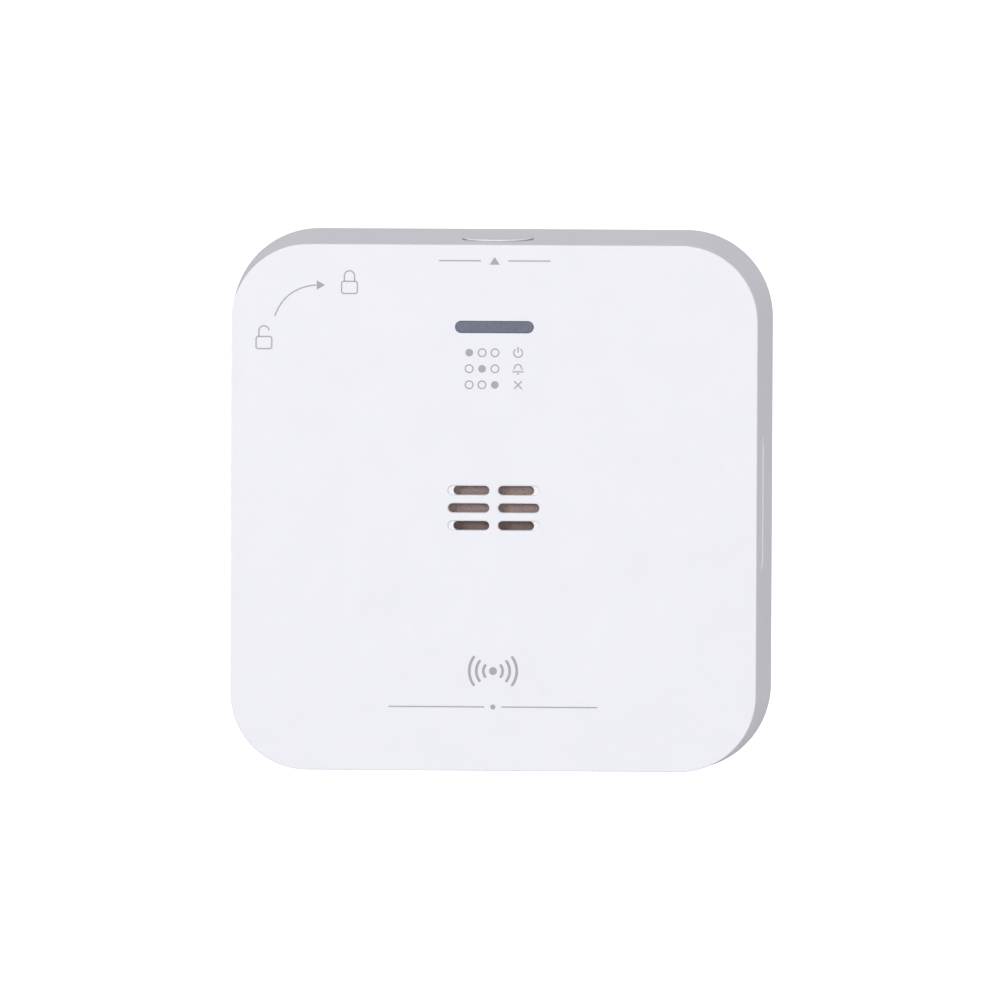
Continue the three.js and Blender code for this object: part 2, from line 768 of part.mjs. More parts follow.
function buildGasSensor(parent) {
  const sensor = group(parent, SENSOR.x);
  const disc = ({ radius, back, front }) => post(radius, back, front, 0, 0, ROUND);
  const base = { radius: 8.7, back: 18.1, front: 19.6 };
  const reservoir = { radius: 8.5, back: 19.8, front: 22.3 };
  const electrodes = { radius: 8.4, back: 22.5, front: 23.8 };
  const filter = { radius: 7.1, back: 25.3, front: 26.5 };
  place(sensor, "co_sensor_can", sensorCan(), steel);
  place(sensor, "co_sensor_base", disc(base), blackPlastic);
  place(sensor, "co_sensor_reservoir", disc(reservoir), ivoryPlastic);
  place(sensor, "co_sensor_electrode_stack", disc(electrodes), charcoalFelt);
  place(sensor, "co_sensor_cap", sensorCap(), blackPlastic);
  place(sensor, "co_sensor_filter", disc(filter), charcoalFelt);
  const pin = { back: 14.9, front: 18.05, sides: 8 };
  const names = ["co_sensor_pin_working", "co_sensor_pin_counter", "co_sensor_pin_reference"];
  pinPlaces().forEach(([x, z], i) => {
    place(sensor, names[i], post(SENSOR.pinRadius, pin.back, pin.front, 0, 0, pin.sides), nickel, x, z);
  });
}

// ---- Battery -------------------------------------------------------------

function batteryHolder() {
  const { halfLength, halfWidth, end, back, front, bore } = HOLDER;
  const inner = halfLength - end;
  const contactHalf = 4.3;
  const pocket = new THREE.CylinderGeometry(bore, bore, 2 * inner, ROUND).rotateZ(Math.PI / 2);
  const tray = block(-halfLength, halfLength, -halfWidth, halfWidth, back, front);
  const contactBack = CELL.depth - contactHalf;
  const contactRoom = block(-inner, inner, -contactHalf, contactHalf, contactBack, front + THROUGH);
  return cut(tray, pocket.translate(0, -CELL.depth, 0), contactRoom);
}

function batteryCell() {
  const { radius, left, right } = CELL;
  const nub = { radius: 3.2, height: 1 };
  const shoulder = right - nub.height;
  const edge = 0.6;
  const profile = [
    [0, left],
    [radius - edge, left],
    [radius, left + edge],
    [radius, shoulder - edge],
    [radius - edge, shoulder],
    [nub.radius, shoulder],
    [nub.radius, right],
    [0, right],
  ];
  const points = profile.map(([r, along]) => new THREE.Vector2(r, along));
  return new THREE.LatheGeometry(points, ROUND).rotateZ(-Math.PI / 2);
}

// Contact plate with a tab that rises past the holder, where its lead is soldered.
function contactPlate() {
  const { halfThickness, half } = CONTACT;
  const tab = { halfWidth: 1.5, back: 3, front: 4.4 };
  return join(
    block(-halfThickness, halfThickness, -half, half, -half, half),
    block(-halfThickness, halfThickness, -tab.halfWidth, tab.halfWidth, tab.back, tab.front),
  );
}

// A lead from its contact's tab, up over the holder's edge and down on to the board.
function batteryLead(side) {
  const radius = 0.6;
  const steps = 16;
  const route = [
    { x: 18.6, z: CELL.height, depth: 20.1 },
    { x: 20.2, z: -25, depth: 21.2 },
    { x: 22.6, z: -20, depth: 21.4 },
    { x: 23.8, z: -15.5, depth: 20.4 },
    { x: 24, z: -13.4, depth: 17.6 },
  ];
  const points = route.map(({ x, z, depth }) => new THREE.Vector3(side * x, -depth, z));
  return wire(radius, new THREE.CatmullRomCurve3(points), steps);
}

function buildBattery(parent) {
  const battery = group(parent, 0, CELL.height);
  const plateX = HOLDER.halfLength - HOLDER.end - 0.3;
  const spring = { wire: 0.3, wide: 3.4, narrow: 1.9, turns: 3, start: 0.55 };
  const springLength = CELL.left + plateX - 0.9;
  place(battery, "battery_holder", batteryHolder(), blackPlastic);
  place(battery, "battery_cell", batteryCell(), sleeveBlue, 0, 0, CELL.depth);
  place(battery, "positive_contact", contactPlate(), nickel, plateX, 0, CELL.depth);
  place(battery, "negative_contact", contactPlate(), nickel, -plateX, 0, CELL.depth);
  const springShape = coil(spring.wire, spring.wide, spring.narrow, springLength, spring.turns);
  place(battery, "negative_spring", springShape, nickel, -plateX + spring.start, 0, CELL.depth);
  place(parent, "battery_lead_red", batteryLead(1), redCable);
  place(parent, "battery_lead_black", batteryLead(-1), blackCable);
}

// ---- Power switch, worked by the plate's peg -------------------------------

function powerSwitchBody() {
  const body = { left: -4.5, right: 6.5, half: 2.5, back: 12.4 };
  const room = { left: -1.2, right: 3.5, half: 1, front: 14 };
  return cut(
    block(body.left, body.right, -body.half, body.half, body.back, BOARD.back - SOLDER),
    block(room.left, room.right, -room.half, room.half, body.back - THROUGH, room.front),
  );
}

function powerSwitchKnob() {
  const { halfWidth, halfHeight, back, front } = KNOB;
  return block(-halfWidth, halfWidth, -halfHeight, halfHeight, back, front);
}

// A bar between the rails, with one fork for the plate's peg and another for the switch's knob.
function activationSlider() {
  const bar = { halfLength: 6, halfHeight: 2.7, back: 5.4, front: 7.6 };
  const pegFork = { inner: PEG.radius + 0.25, outer: PEG.radius + 1.5, reach: 1.7, from: 3.2, to: 6 };
  const knobFork = { inner: KNOB.halfWidth + 0.25, outer: 2.3, reach: 1, from: 7, to: 11.4 };
  const prongs = ({ inner, outer, reach, from, to }) => [
    block(-outer, -inner, -reach, reach, from, to),
    block(inner, outer, -reach, reach, from, to),
  ];
  return join(
    block(-bar.halfLength, bar.halfLength, -bar.halfHeight, bar.halfHeight, bar.back, bar.front),
    ...prongs(pegFork),
    ...prongs(knobFork),
  );
}

// ---- Screws --------------------------------------------------------------

// A screw with its head towards the wall, its cross recess cut in, and a pointed end.
function screw(headRadius, headHeight, shankRadius, length) {
  const edge = 0.3;
  const body = turned(
    [
      [0, 0],
      [headRadius - edge, 0],
      [headRadius, edge],
      [headRadius, headHeight],
      [shankRadius, headHeight],
      [shankRadius, length - shankRadius],
      [0, length],
    ],
    TINY_ROUND,
  );
  const cross = { reach: 0.6 * headRadius, half: 0.13 * headRadius, floor: 0.5 * headHeight };
  return cut(
    body,
    block(-cross.reach, cross.reach, -cross.half, cross.half, -THROUGH, cross.floor),
    block(-cross.half, cross.half, -cross.reach, cross.reach, -THROUGH, cross.floor),
  );
}

// ---- Assembly ------------------------------------------------------------

const detector = new THREE.Group();
place(detector, "mounting_plate", mountingPlate(), whitePlastic);

const alarm = group(detector);
place(alarm, "front_cover", frontCover(), whitePlastic);
place(alarm, "rear_cover", rearCover(), whitePlastic);
place(alarm, "light_pipe", lightPipe(), slatePlastic);
place(alarm, "vent_mesh", ventMesh(), meshCloth);
place(alarm, "test_button", testButton(), buttonPlastic, 0, 0, BUTTON.depth);

const electronics = group(alarm);
place(electronics, "main_circuit_board", circuitBoard(), boardGreen);
const boardFront = group(electronics, 0, 0, BOARD.front + SOLDER);
place(boardFront, "led_green", led(), greenLens, -LED_PITCH, BAR.height);
place(boardFront, "led_red", led(), redLens, 0, BAR.height);
place(boardFront, "led_yellow", led(), yellowLens, LED_PITCH, BAR.height);
const controller = { side: 7, thickness: 1.5, legs: 8 };
const controllerShape = chip(controller.side, controller.side, controller.thickness, controller.legs);
place(boardFront, "microcontroller", controllerShape, chipBlack, ...CONTROLLER_PLACE);
const amplifier = { width: 3.9, height: 4.9, thickness: 1.5, legs: 4 };
const amplifierShape = chip(amplifier.width, amplifier.height, amplifier.thickness, amplifier.legs);
place(boardFront, "sensor_amplifier", amplifierShape, chipBlack, ...AMPLIFIER_PLACE);
place(boardFront, "electrolytic_capacitor", capacitor(), steel, ...CAPACITOR_PLACE);
place(boardFront, "sounder_coil_core", coilCore(), ferrite, ...COIL_PLACE);
place(boardFront, "sounder_coil_winding", coilWinding(), copperWire, ...COIL_PLACE);
place(electronics, "tact_switch_body", tactSwitchBody(), blackPlastic);
place(electronics, "tact_switch_plunger", tactSwitchPlunger(), greyPlastic, 0, 0, SWITCH_DEPTH);
buildSounder(electronics);
buildGasSensor(electronics);
buildBattery(electronics);

const powerSwitch = group(alarm, 0, PEG.height);
place(powerSwitch, "power_switch_body", powerSwitchBody(), blackPlastic);
place(powerSwitch, "power_switch_knob", powerSwitchKnob(), greyPlastic);
place(powerSwitch, "activation_slider", activationSlider(), greyPlastic);

const caseScrew = { head: 2.8, headHeight: 1.7, shank: 1.35, length: 13.5, depth: 1.65 };
caseCorners().forEach(([x, z], i) => {
  const shape = screw(caseScrew.head, caseScrew.headHeight, caseScrew.shank, caseScrew.length);
  place(alarm, `case_screw_${i + 1}`, shape, steel, x, z, caseScrew.depth);
});

const boardScrew = { head: 2.3, headHeight: 1.5, shank: 0.85, length: 8.5 };
const boardScrewTop = BOARD.front + SOLDER + boardScrew.headHeight;
BOARD_SCREWS.forEach(([x, z], i) => {
  const shape = screw(boardScrew.head, boardScrew.headHeight, boardScrew.shank, boardScrew.length);
  shape.rotateX(Math.PI);
  place(electronics, `board_screw_${i + 1}`, shape, steel, x, z, boardScrewTop);
});

export default detector;
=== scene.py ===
"""Looks for the wall-mounted carbon monoxide detector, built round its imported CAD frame.

Shapes are worked out in millimetres as (x, depth, z): depth is the distance from the wall, so a depth
of d lies at y = -d. Seen from the front, x runs to the right and z upwards. Meshes are scaled to metres
when they are made.
"""
import json
import math

import bmesh
import bpy
from mathutils import Matrix, Vector

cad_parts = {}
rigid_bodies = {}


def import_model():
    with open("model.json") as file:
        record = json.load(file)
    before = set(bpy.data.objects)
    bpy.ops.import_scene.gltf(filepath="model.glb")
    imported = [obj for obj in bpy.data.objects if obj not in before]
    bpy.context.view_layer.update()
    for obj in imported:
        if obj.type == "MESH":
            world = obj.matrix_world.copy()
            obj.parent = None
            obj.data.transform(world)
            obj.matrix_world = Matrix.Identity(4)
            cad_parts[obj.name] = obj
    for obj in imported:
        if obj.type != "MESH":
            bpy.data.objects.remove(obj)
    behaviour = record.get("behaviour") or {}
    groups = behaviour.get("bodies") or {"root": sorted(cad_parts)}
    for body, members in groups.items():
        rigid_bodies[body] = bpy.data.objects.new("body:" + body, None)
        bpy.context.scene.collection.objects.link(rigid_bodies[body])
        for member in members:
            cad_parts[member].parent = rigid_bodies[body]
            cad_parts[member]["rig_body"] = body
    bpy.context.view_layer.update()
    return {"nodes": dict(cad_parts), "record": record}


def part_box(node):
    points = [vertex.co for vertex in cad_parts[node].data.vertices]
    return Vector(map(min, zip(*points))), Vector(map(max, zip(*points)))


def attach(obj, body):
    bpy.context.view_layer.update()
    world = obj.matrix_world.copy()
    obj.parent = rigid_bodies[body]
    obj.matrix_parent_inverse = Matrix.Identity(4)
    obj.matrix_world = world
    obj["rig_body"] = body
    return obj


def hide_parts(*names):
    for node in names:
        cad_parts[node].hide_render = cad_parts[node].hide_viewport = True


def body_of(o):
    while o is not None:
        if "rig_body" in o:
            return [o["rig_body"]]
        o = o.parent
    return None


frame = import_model()

MM = 0.001

# ---- Driving dimensions, in millimetres ----


def node_box(node):
    """Left, right, bottom, top, back and front of a CAD node; back and front are depths."""
    low, high = (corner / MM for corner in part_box(node))
    return {"left": low.x, "right": high.x, "bottom": low.z, "top": high.z, "back": -high.y, "front": -low.y}


CASE = node_box("front_cover")
REAR = node_box("rear_cover")
PLATE = node_box("mounting_plate")
PIPE = node_box("light_pipe")
CLOTH = node_box("vent_mesh")
CAP = node_box("test_button")

INK_HEIGHT = 0.02  # the print stands on the face by this much
INK_LINE = 0.2
BOLD_LINE = 0.42

FACE_SIDE = 82
FACE_CORNER = 12
FACE_DEPTH = CASE["front"] - INK_HEIGHT
FACE_EDGE = 0.2
CASE_FLARE = CASE["right"] - FACE_SIDE / 2
SLOPE = CASE_FLARE / (CASE["front"] - CASE["back"])  # the sides widen by this much per millimetre of depth
WALL = 2
INSIDE_DEPTH = CASE["front"] - WALL
RIB_FRONT = INSIDE_DEPTH + 0.5  # ribs and bosses run this far into the front wall
RIB_EDGE = 0.15

VENT = {"length": 6.4, "open": 5.6, "width": 1.42, "pitch": 2.74, "bridge": 1.4, "pocket": 0.25, "rim": 0.25}
BAR = {"length": 12.2, "width": 1.85, "gap": 0.03, "rim": 0.06, "edge": 0.12, "leg": 1.3, "leg_pitch": 4}
BAR_HEIGHT = (PIPE["bottom"] + PIPE["top"]) / 2
BUTTON = {"radius": 5.3, "gap": 0.35, "rim": 0.1, "edge": 0.12, "dish": 0.12, "rise": 0.26}
BUTTON_DEPTH = (CAP["back"] + CAP["front"]) / 2
CAP_SEAT = FACE_SIDE / 2 + SLOPE * (CASE["front"] - BUTTON_DEPTH)  # the top side's height at the button
SWITCH_DEPTH = 19
GRIP = {"length": 20.9, "width": 7.8, "corner": 2.5, "depth": 23.1, "height": 0.7, "sink": 0.35}
GRIP_FLOOR_SLOPE = 0.035  # how steeply the floor sinks towards its front end, against the side
SCREW_REACH = 33  # the case screws stand this far from the middle, along x and z
# Radius and height of the head, radius of the shank, and pitch of the thread
SCREWS = {"case": (2.8, 1.7, 1.35, 1.0), "board": (2.3, 1.5, 0.85, 0.7)}
PLATE_FRONT = 2.6
HOOK = {"inner": 17.2, "outer": 18.8, "tip": 20.6, "half": 7, "under": 5.4, "top": PLATE["front"]}
HOOK_ANGLES = (90, 210, 330)
TWIST = 15
PEG = {"radius": 1.2, "height": 8, "top": 4.9}
SLOT = {"offset": 25, "length": 9, "width": 4.4, "seat_width": 8, "seat_depth": 1.2}
RECESS = {"radius": 33.6, "depth": 2.9}
COVER_TOP = 5.1
BOARD_SCREWS = ((-33, -12.5), (33, -12.5), (-32, 20), (32, 20))

# Steps in a quarter turn: of the case's corners, large circles, small outlines and rounded edges
CORNER_STEPS = 24
LARGE_STEPS = 40
SMALL_STEPS = 10
EDGE_STEPS = 5
THROUGH = 1  # how far a cutter runs past the surface it cuts
SAME_POINT = 1e-4  # points closer than this are one point
SHARP_ANGLE = 32  # in degrees; edges that turn further than this stay crisp
CLOTH_ANGLE = 70  # the same for the cloth, whose threads stay soft
LARGE_FACES_RULE = 100  # Blender's highest weight for large faces over small ones
NEEDLE = 1e-3  # the radius of a turned shape's tip


# ---- Outlines: functions from a growth to a list of (x, z) points ----


def arc(x, z, radius, start, end, steps):
    """Points along an arc between two angles in degrees."""
    angles = [math.radians(start + (end - start) * step / steps) for step in range(steps + 1)]
    return [(x + radius * math.cos(angle), z + radius * math.sin(angle)) for angle in angles]


def rounded_rectangle(width, height, corner, x=0, z=0, steps=SMALL_STEPS):
    """Corners run anticlockwise from the upper right, each in the given number of steps."""

    def outline(grow):
        reach_x, reach_z = width / 2 - corner, height / 2 - corner
        quarters = ((1, 1), (-1, 1), (-1, -1), (1, -1))
        points = []
        for turn, (side_x, side_z) in enumerate(quarters):
            middle = (x + side_x * reach_x, z + side_z * reach_z)
            points += arc(*middle, corner + grow, 90 * turn, 90 * turn + 90, steps)
        return points

    return outline


def round_ended(length, width, x=0, z=0, is_upright=False):
    if is_upright:
        length, width = width, length
    return rounded_rectangle(length, width, min(length, width) / 2, x, z)


def circle(radius, x=0, z=0, steps=SMALL_STEPS):
    return rounded_rectangle(2 * radius, 2 * radius, radius, x, z, steps)


def ring_sector(inner, outer, start, end):
    """Part of a ring about the middle. It grows only outwards and inwards, not along the ring."""

    def outline(grow):
        outward = arc(0, 0, outer + grow, start, end, SMALL_STEPS)
        return outward + arc(0, 0, inner - grow, end, start, SMALL_STEPS)

    return outline


# ---- Profiles: lists of (growth, depth) ----


def quarter_turn(steps):
    """Angles from 0 to a right angle."""
    return [math.pi / 2 * step / steps for step in range(steps + 1)]


def edge_over(growth, depth, radius, facing=1):
    """A rounded outer edge, from the flat face at this depth round to the side.

    Facing is 1 for a face that looks away from the wall and -1 for one that looks at it.
    """
    return [
        (growth - radius + radius * math.sin(turn), depth - facing * radius * (1 - math.cos(turn)))
        for turn in quarter_turn(EDGE_STEPS)
    ]


def rim_over(depth, radius):
    """A cutter's profile that leaves a rounded rim round the hole, from outside the face to inside it."""
    rounded = [
        (radius * (1 - math.sin(turn)), depth - radius * (1 - math.cos(turn)))
        for turn in quarter_turn(EDGE_STEPS)
    ]
    return [(radius, depth + THROUGH)] + rounded


# ---- Solids ----


def linked(name, content):
    """A new object in the scene for a mesh, a lamp or a camera."""
    made = bpy.data.objects.new(name, content)
    bpy.context.scene.collection.objects.link(made)
    return made


def to_object(points, faces):
    """A closed mesh from millimetre points, with its faces turned outwards."""
    mesh = bpy.data.meshes.new("shape")
    mesh.from_pydata([(x * MM, -depth * MM, z * MM) for x, depth, z in points], [], faces)
    shape = bmesh.new()
    shape.from_mesh(mesh)
    bmesh.ops.remove_doubles(shape, verts=shape.verts, dist=SAME_POINT * MM)
    bmesh.ops.recalc_face_normals(shape, faces=shape.faces)
    shape.to_mesh(mesh)
    shape.free()
    return linked("shape", mesh)


def stack(outline, profile):
    """A solid whose cross-section is the outline, grown as the profile says at each depth."""
    return skin([[(x, depth, z) for x, z in outline(grow)] for grow, depth in profile])


def band_faces(near, far, count):
    """Faces between two closed rings of points, whose first points have these numbers."""
    return [[near + i, near + (i + 1) % count, far + (i + 1) % count, far + i] for i in range(count)]


def skin(rings):
    """A solid through closed rings of equal length, capped at both ends."""
    count = len(rings[0])
    faces = [list(range(count)), [(len(rings) - 1) * count + i for i in range(count)]]
    for level in range(len(rings) - 1):
        faces += band_faces(level * count, (level + 1) * count, count)
    return to_object([point for ring in rings for point in ring], faces)


def slab(outline, back, front, edge=0, back_edge=0):
    """The outline raised between two depths, its edges rounded where a radius is given."""
    front_profile = edge_over(0, front, edge) if edge else [(0, front)]
    back_profile = edge_over(0, back, back_edge, -1) if back_edge else [(0, back)]
    return stack(outline, front_profile + back_profile[::-1])


def block(left, right, bottom, top, back, front):
    corners = ((left, bottom), (right, bottom), (right, top), (left, top))
    return skin([[(x, depth, z) for x, z in corners] for depth in (back, front)])


def post(radius, back, front, x=0, z=0, steps=SMALL_STEPS):
    return slab(circle(radius, x, z, steps), back, front)


def hole_cutter(outline, front, back, rim):
    """Cuts from outside the face at the front depth down to the back depth."""
    return stack(outline, rim_over(front, rim) + [(0, back)])


def upright(profile, depth, steps=CORNER_STEPS, slope=0, slope_from=0):
    """A (radius, height) profile turned about a vertical line.

    Heights above slope_from fall with depth, as the sloping top side does.
    """
    rings = []
    for radius, height in profile:
        tilt = slope if height > slope_from else 0
        outline = circle(max(radius, NEEDLE), steps=steps)
        rings.append([(x, depth + along, height - tilt * along) for x, along in outline(0)])
    return skin(rings)


def modify(piece, kind, **settings):
    change = piece.modifiers.new(kind.lower(), kind)
    for key, value in settings.items():
        setattr(change, key, value)


def combine(body, operation, tools):
    """Joins the tools to the body or cuts them from it, and removes the tools."""
    for tool in tools:
        modify(body, "BOOLEAN", operation=operation, solver="MANIFOLD", object=tool)
    view = bpy.context.evaluated_depsgraph_get()
    done = bpy.data.meshes.new_from_object(body.evaluated_get(view), depsgraph=view)
    body.modifiers.clear()
    body.data = done
    for tool in tools:
        bpy.data.objects.remove(tool)
    return body


def join(body, *tools):
    return combine(body, "UNION", tools)


def cut(body, *tools):
    return combine(body, "DIFFERENCE", tools)


def smooth(piece, sharp_angle):
    """Smooth shading that keeps flats flat and edges above the angle crisp."""
    mesh = piece.data
    mesh.shade_smooth()
    mesh.set_sharp_from_angle(angle=math.radians(sharp_angle))
    modify(piece, "WEIGHTED_NORMAL", mode="FACE_AREA", keep_sharp=True, weight=LARGE_FACES_RULE)
    return piece


def add_piece(piece, name, body, material):
    """Names a finished piece, gives it its material and puts it on its CAD body."""
    piece.name = piece.data.name = name
    piece.data.materials.clear()  # cutting leaves an empty slot
    piece.data.materials.append(material)
    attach(piece, body)


# ---- Case ----


def flare(depth):
    """How much wider each side of the case is at a depth than at the face."""
    return SLOPE * (CASE["front"] - depth)


def case_outline():
    return rounded_rectangle(FACE_SIDE, FACE_SIDE, FACE_CORNER, steps=CORNER_STEPS)


def case_corners():
    return [(x * SCREW_REACH, z * SCREW_REACH) for x in (-1, 1) for z in (-1, 1)]


def case_wall():
    """The shell: rounded face edge, flared sides, rounded back edge and the inside wall."""
    inside_corner, back_outer_edge, back_inner_edge = 0.6, 0.35, 0.2
    back = CASE["back"]
    outside = edge_over(0, FACE_DEPTH, FACE_EDGE)
    outside += edge_over(flare(back), back, back_outer_edge, -1)[::-1]
    inside = [
        (flare(back) - WALL + back_inner_edge, back),
        (flare(back) - WALL, back + back_inner_edge),
    ]
    inside += edge_over(flare(INSIDE_DEPTH) - WALL, INSIDE_DEPTH, inside_corner)[::-1]
    return stack(case_outline(), outside + inside)


def vent_slot(row, side, length):
    """The outline of a slot that starts at the middle bridge."""
    return round_ended(length, VENT["width"], side * (VENT["bridge"] + length) / 2, row * VENT["pitch"])


def vent_cutters():
    """Six slots. Those of the outer rows end early, in a shallow pocket."""
    chamfer = 0.1
    floor_depth = FACE_DEPTH - VENT["pocket"]
    floor = [(0, floor_depth + chamfer), (-chamfer, floor_depth)]
    cutters = []
    for row in (-1, 0, 1):
        for side in (-1, 1):
            through = vent_slot(row, side, VENT["open"] if row else VENT["length"])
            cutters.append(hole_cutter(through, FACE_DEPTH, INSIDE_DEPTH - THROUGH, VENT["rim"]))
            if row:
                pocket = vent_slot(row, side, VENT["length"])
                cutters.append(stack(pocket, rim_over(FACE_DEPTH, VENT["rim"]) + floor))
    return cutters


def button_hole_cutter():
    """A round hole through the sloping top side, its rim rounded."""
    radius = BUTTON["radius"] + BUTTON["gap"]
    rim = [(radius + growth, height) for growth, height in rim_over(CAP_SEAT, BUTTON["rim"])]
    return upright(rim + [(radius, CAP_SEAT - 2 * WALL)], BUTTON_DEPTH, slope=SLOPE)


def grip_cutter(side):
    """The shallow grip recess in one side of the case, deepest at its front end."""
    outline = rounded_rectangle(GRIP["width"], GRIP["length"], GRIP["corner"])
    sink = GRIP["sink"]
    rim, fillet = 0.1, 0.08
    floor = [(0, fillet - sink), (-fillet / 3, fillet / 3 - sink), (-fillet, -sink)]
    cutter = stack(outline, rim_over(0, rim) + floor)
    for vertex in cutter.data.vertices:
        if vertex.co.y > 1.5 * rim * MM:  # below the rim
            vertex.co.y -= side * GRIP_FLOOR_SLOPE * vertex.co.x
    turn = Matrix.Rotation(side * (math.pi / 2 - math.atan(SLOPE)), 4, "Z")
    surface = side * (FACE_SIDE / 2 + flare(GRIP["depth"]))
    centre = Vector((surface, -GRIP["depth"], GRIP["height"])) * MM
    cutter.data.transform(Matrix.Translation(centre) @ turn)
    return cutter


def mesh_frame():
    """A low frame round the vent cloth, open at both ends for the air."""
    width, height, rib, corner, back = 22, 14, 0.8, 0.5, 29.2
    gap_from, gap_to, half_gap = 9, 12, 2.5
    ends = (back - THROUGH, RIB_FRONT + THROUGH)
    inside = rounded_rectangle(width - 2 * rib, height - 2 * rib, corner)
    return cut(
        slab(rounded_rectangle(width, height, corner), back, RIB_FRONT, back_edge=RIB_EDGE),
        slab(inside, *ends),
        block(gap_from, gap_to, -half_gap, half_gap, *ends),
        block(-gap_to, -gap_from, -half_gap, half_gap, *ends),
    )


def sounder_ring():
    """The round rib that encloses the front of the sounder."""
    outer, inner, back = 18.6, 17.4, 26
    return cut(
        post(outer, back, RIB_FRONT, steps=CORNER_STEPS),
        post(inner, back - THROUGH, RIB_FRONT + THROUGH, steps=CORNER_STEPS),
    )


def front_cover():
    """The square shell with its ribs, screw bosses, vents, window, button hole and grip recesses."""
    boss_radius, boss_back, bore, bore_end = 3.4, COVER_TOP + 0.3, 1.55, 20
    bosses = [
        slab(circle(boss_radius, x, z), boss_back, RIB_FRONT, back_edge=RIB_EDGE) for x, z in case_corners()
    ]
    bores = [post(bore, boss_back - THROUGH, bore_end, x, z) for x, z in case_corners()]
    window = round_ended(BAR["length"] + 2 * BAR["gap"], BAR["width"] + 2 * BAR["gap"], 0, BAR_HEIGHT)
    shell = join(case_wall(), mesh_frame(), sounder_ring(), *bosses)
    return cut(
        shell,
        *bores,
        *vent_cutters(),
        hole_cutter(window, FACE_DEPTH, INSIDE_DEPTH - THROUGH, BAR["rim"]),
        button_hole_cutter(),
        grip_cutter(-1),
        grip_cutter(1),
    )


def test_button():
    """Round cap with a slight dish, parallel to the sloping top side, over its flange and stem."""
    lip_bottom, lip_overhang, dish_steps = 0.07, 0.4, 8
    flange, flange_bottom, flange_top = 7.4, 38, 38.8
    stem, stem_chamfer, stem_overlap = 1.8, 0.2, 0.4
    radius, edge = BUTTON["radius"], BUTTON["edge"]
    top = CAP_SEAT + BUTTON["rise"]
    neck = radius - lip_overhang
    dish_reach = radius - 2.5 * edge
    profile = [(0, flange_bottom), (flange, flange_bottom), (flange, flange_top)]
    profile += [(neck, flange_top + 0.01), (neck, CAP_SEAT), (radius, CAP_SEAT + lip_bottom)]
    profile += [(radius + growth, height) for growth, height in edge_over(0, top, edge)[::-1]]
    profile += [
        (dish_reach * math.cos(turn), top - BUTTON["dish"] * math.sin(turn) ** 2)
        for turn in quarter_turn(dish_steps)
    ]
    cap = upright(profile, BUTTON_DEPTH, slope=SLOPE, slope_from=flange_top + edge)

    foot, stem_top = CAP["bottom"], flange_top - stem_overlap
    stem_profile = [(0, foot), (stem - stem_chamfer, foot), (stem, foot + stem_chamfer)]
    stem_profile += [(stem, stem_top), (0, stem_top)]
    return join(cap, upright(stem_profile, SWITCH_DEPTH, steps=SMALL_STEPS))


def light_bar():
    """The light guide's bar in the window, the flange behind it and a leg over each indicator."""
    length, width, back, front, edge = 15, 4, 29.5, 30.7, 0.1
    inside_flange = back + 0.5
    bar_outline = round_ended(BAR["length"], BAR["width"], 0, BAR_HEIGHT)
    flange_outline = round_ended(length, width, 0, BAR_HEIGHT)
    legs = [
        post(BAR["leg"], PIPE["back"], inside_flange, step * BAR["leg_pitch"], BAR_HEIGHT)
        for step in (-1, 0, 1)
    ]
    return join(
        slab(bar_outline, inside_flange, PIPE["front"], BAR["edge"]),
        slab(flange_outline, back, front, edge, edge),
        *legs,
    )


def weave(x, z, thread):
    """Height from 0 to 1 of a plain weave at a point, for this spacing of the threads."""
    turn_x, turn_z = math.pi * x / thread, math.pi * z / thread
    over = math.sin(turn_x) * math.sin(turn_z)
    across = abs(math.cos(turn_x if over > 0 else turn_z))
    return 1 - 0.8 * across * abs(over)


def cloth_front(z):
    """Depth of the cloth's front: level behind the upper rows of vents, further back at the lowest row."""
    fold_height, fold_width, low_front = -1.5, 0.4, 29.8
    fold = min(1, max(0, (z - fold_height + fold_width) / fold_width))
    return low_front + (CLOTH["front"] - low_front) * fold * fold * (3 - 2 * fold)


def grid_faces(start, columns, rows):
    width = columns + 1
    corners = [start + row * width + column for row in range(rows) for column in range(columns)]
    return [[corner, corner + 1, corner + 1 + width, corner + width] for corner in corners]


def grid_rim(columns, rows):
    """The points round the edge of a grid, in order."""
    width = columns + 1
    rim = list(range(columns))
    rim += [row * width + columns for row in range(rows)]
    rim += [rows * width + column for column in range(columns, 0, -1)]
    return rim + [row * width for row in range(rows, 0, -1)]


def vent_cloth():
    """Woven dust cloth. Each thread rises over and dips under its neighbours."""
    thread, steps_per_thread, rise, thickness = 0.5, 5, 0.09, 0.3
    left, bottom = CLOTH["left"], CLOTH["bottom"]
    width, height = CLOTH["right"] - left, CLOTH["top"] - bottom
    columns = round(width / thread * steps_per_thread)
    rows = round(height / thread * steps_per_thread)
    heights = [bottom + height * row / rows for row in range(rows + 1)]
    places = [left + width * column / columns for column in range(columns + 1)]
    grid = [(x, z) for z in heights for x in places]
    front = [(x, cloth_front(z) - rise + rise * weave(x, z, thread), z) for x, z in grid]
    back = [(x, cloth_front(z) - thickness - rise, z) for x, z in grid]
    faces = grid_faces(0, columns, rows) + grid_faces(len(grid), columns, rows)
    rim = grid_rim(columns, rows)
    for here, after in zip(rim, rim[1:] + rim[:1]):
        faces.append([here, after, after + len(grid), here + len(grid)])
    return to_object(front + back, faces)


# ---- Wall plate and rear cover ----


def chamfered(back, chamfer, front, overrun=THROUGH):
    """A cutter's profile from the wall side: a chamfer round the mouth, then straight to the front."""
    return [(chamfer, back - overrun), (chamfer, back), (0, back + chamfer), (0, front)]


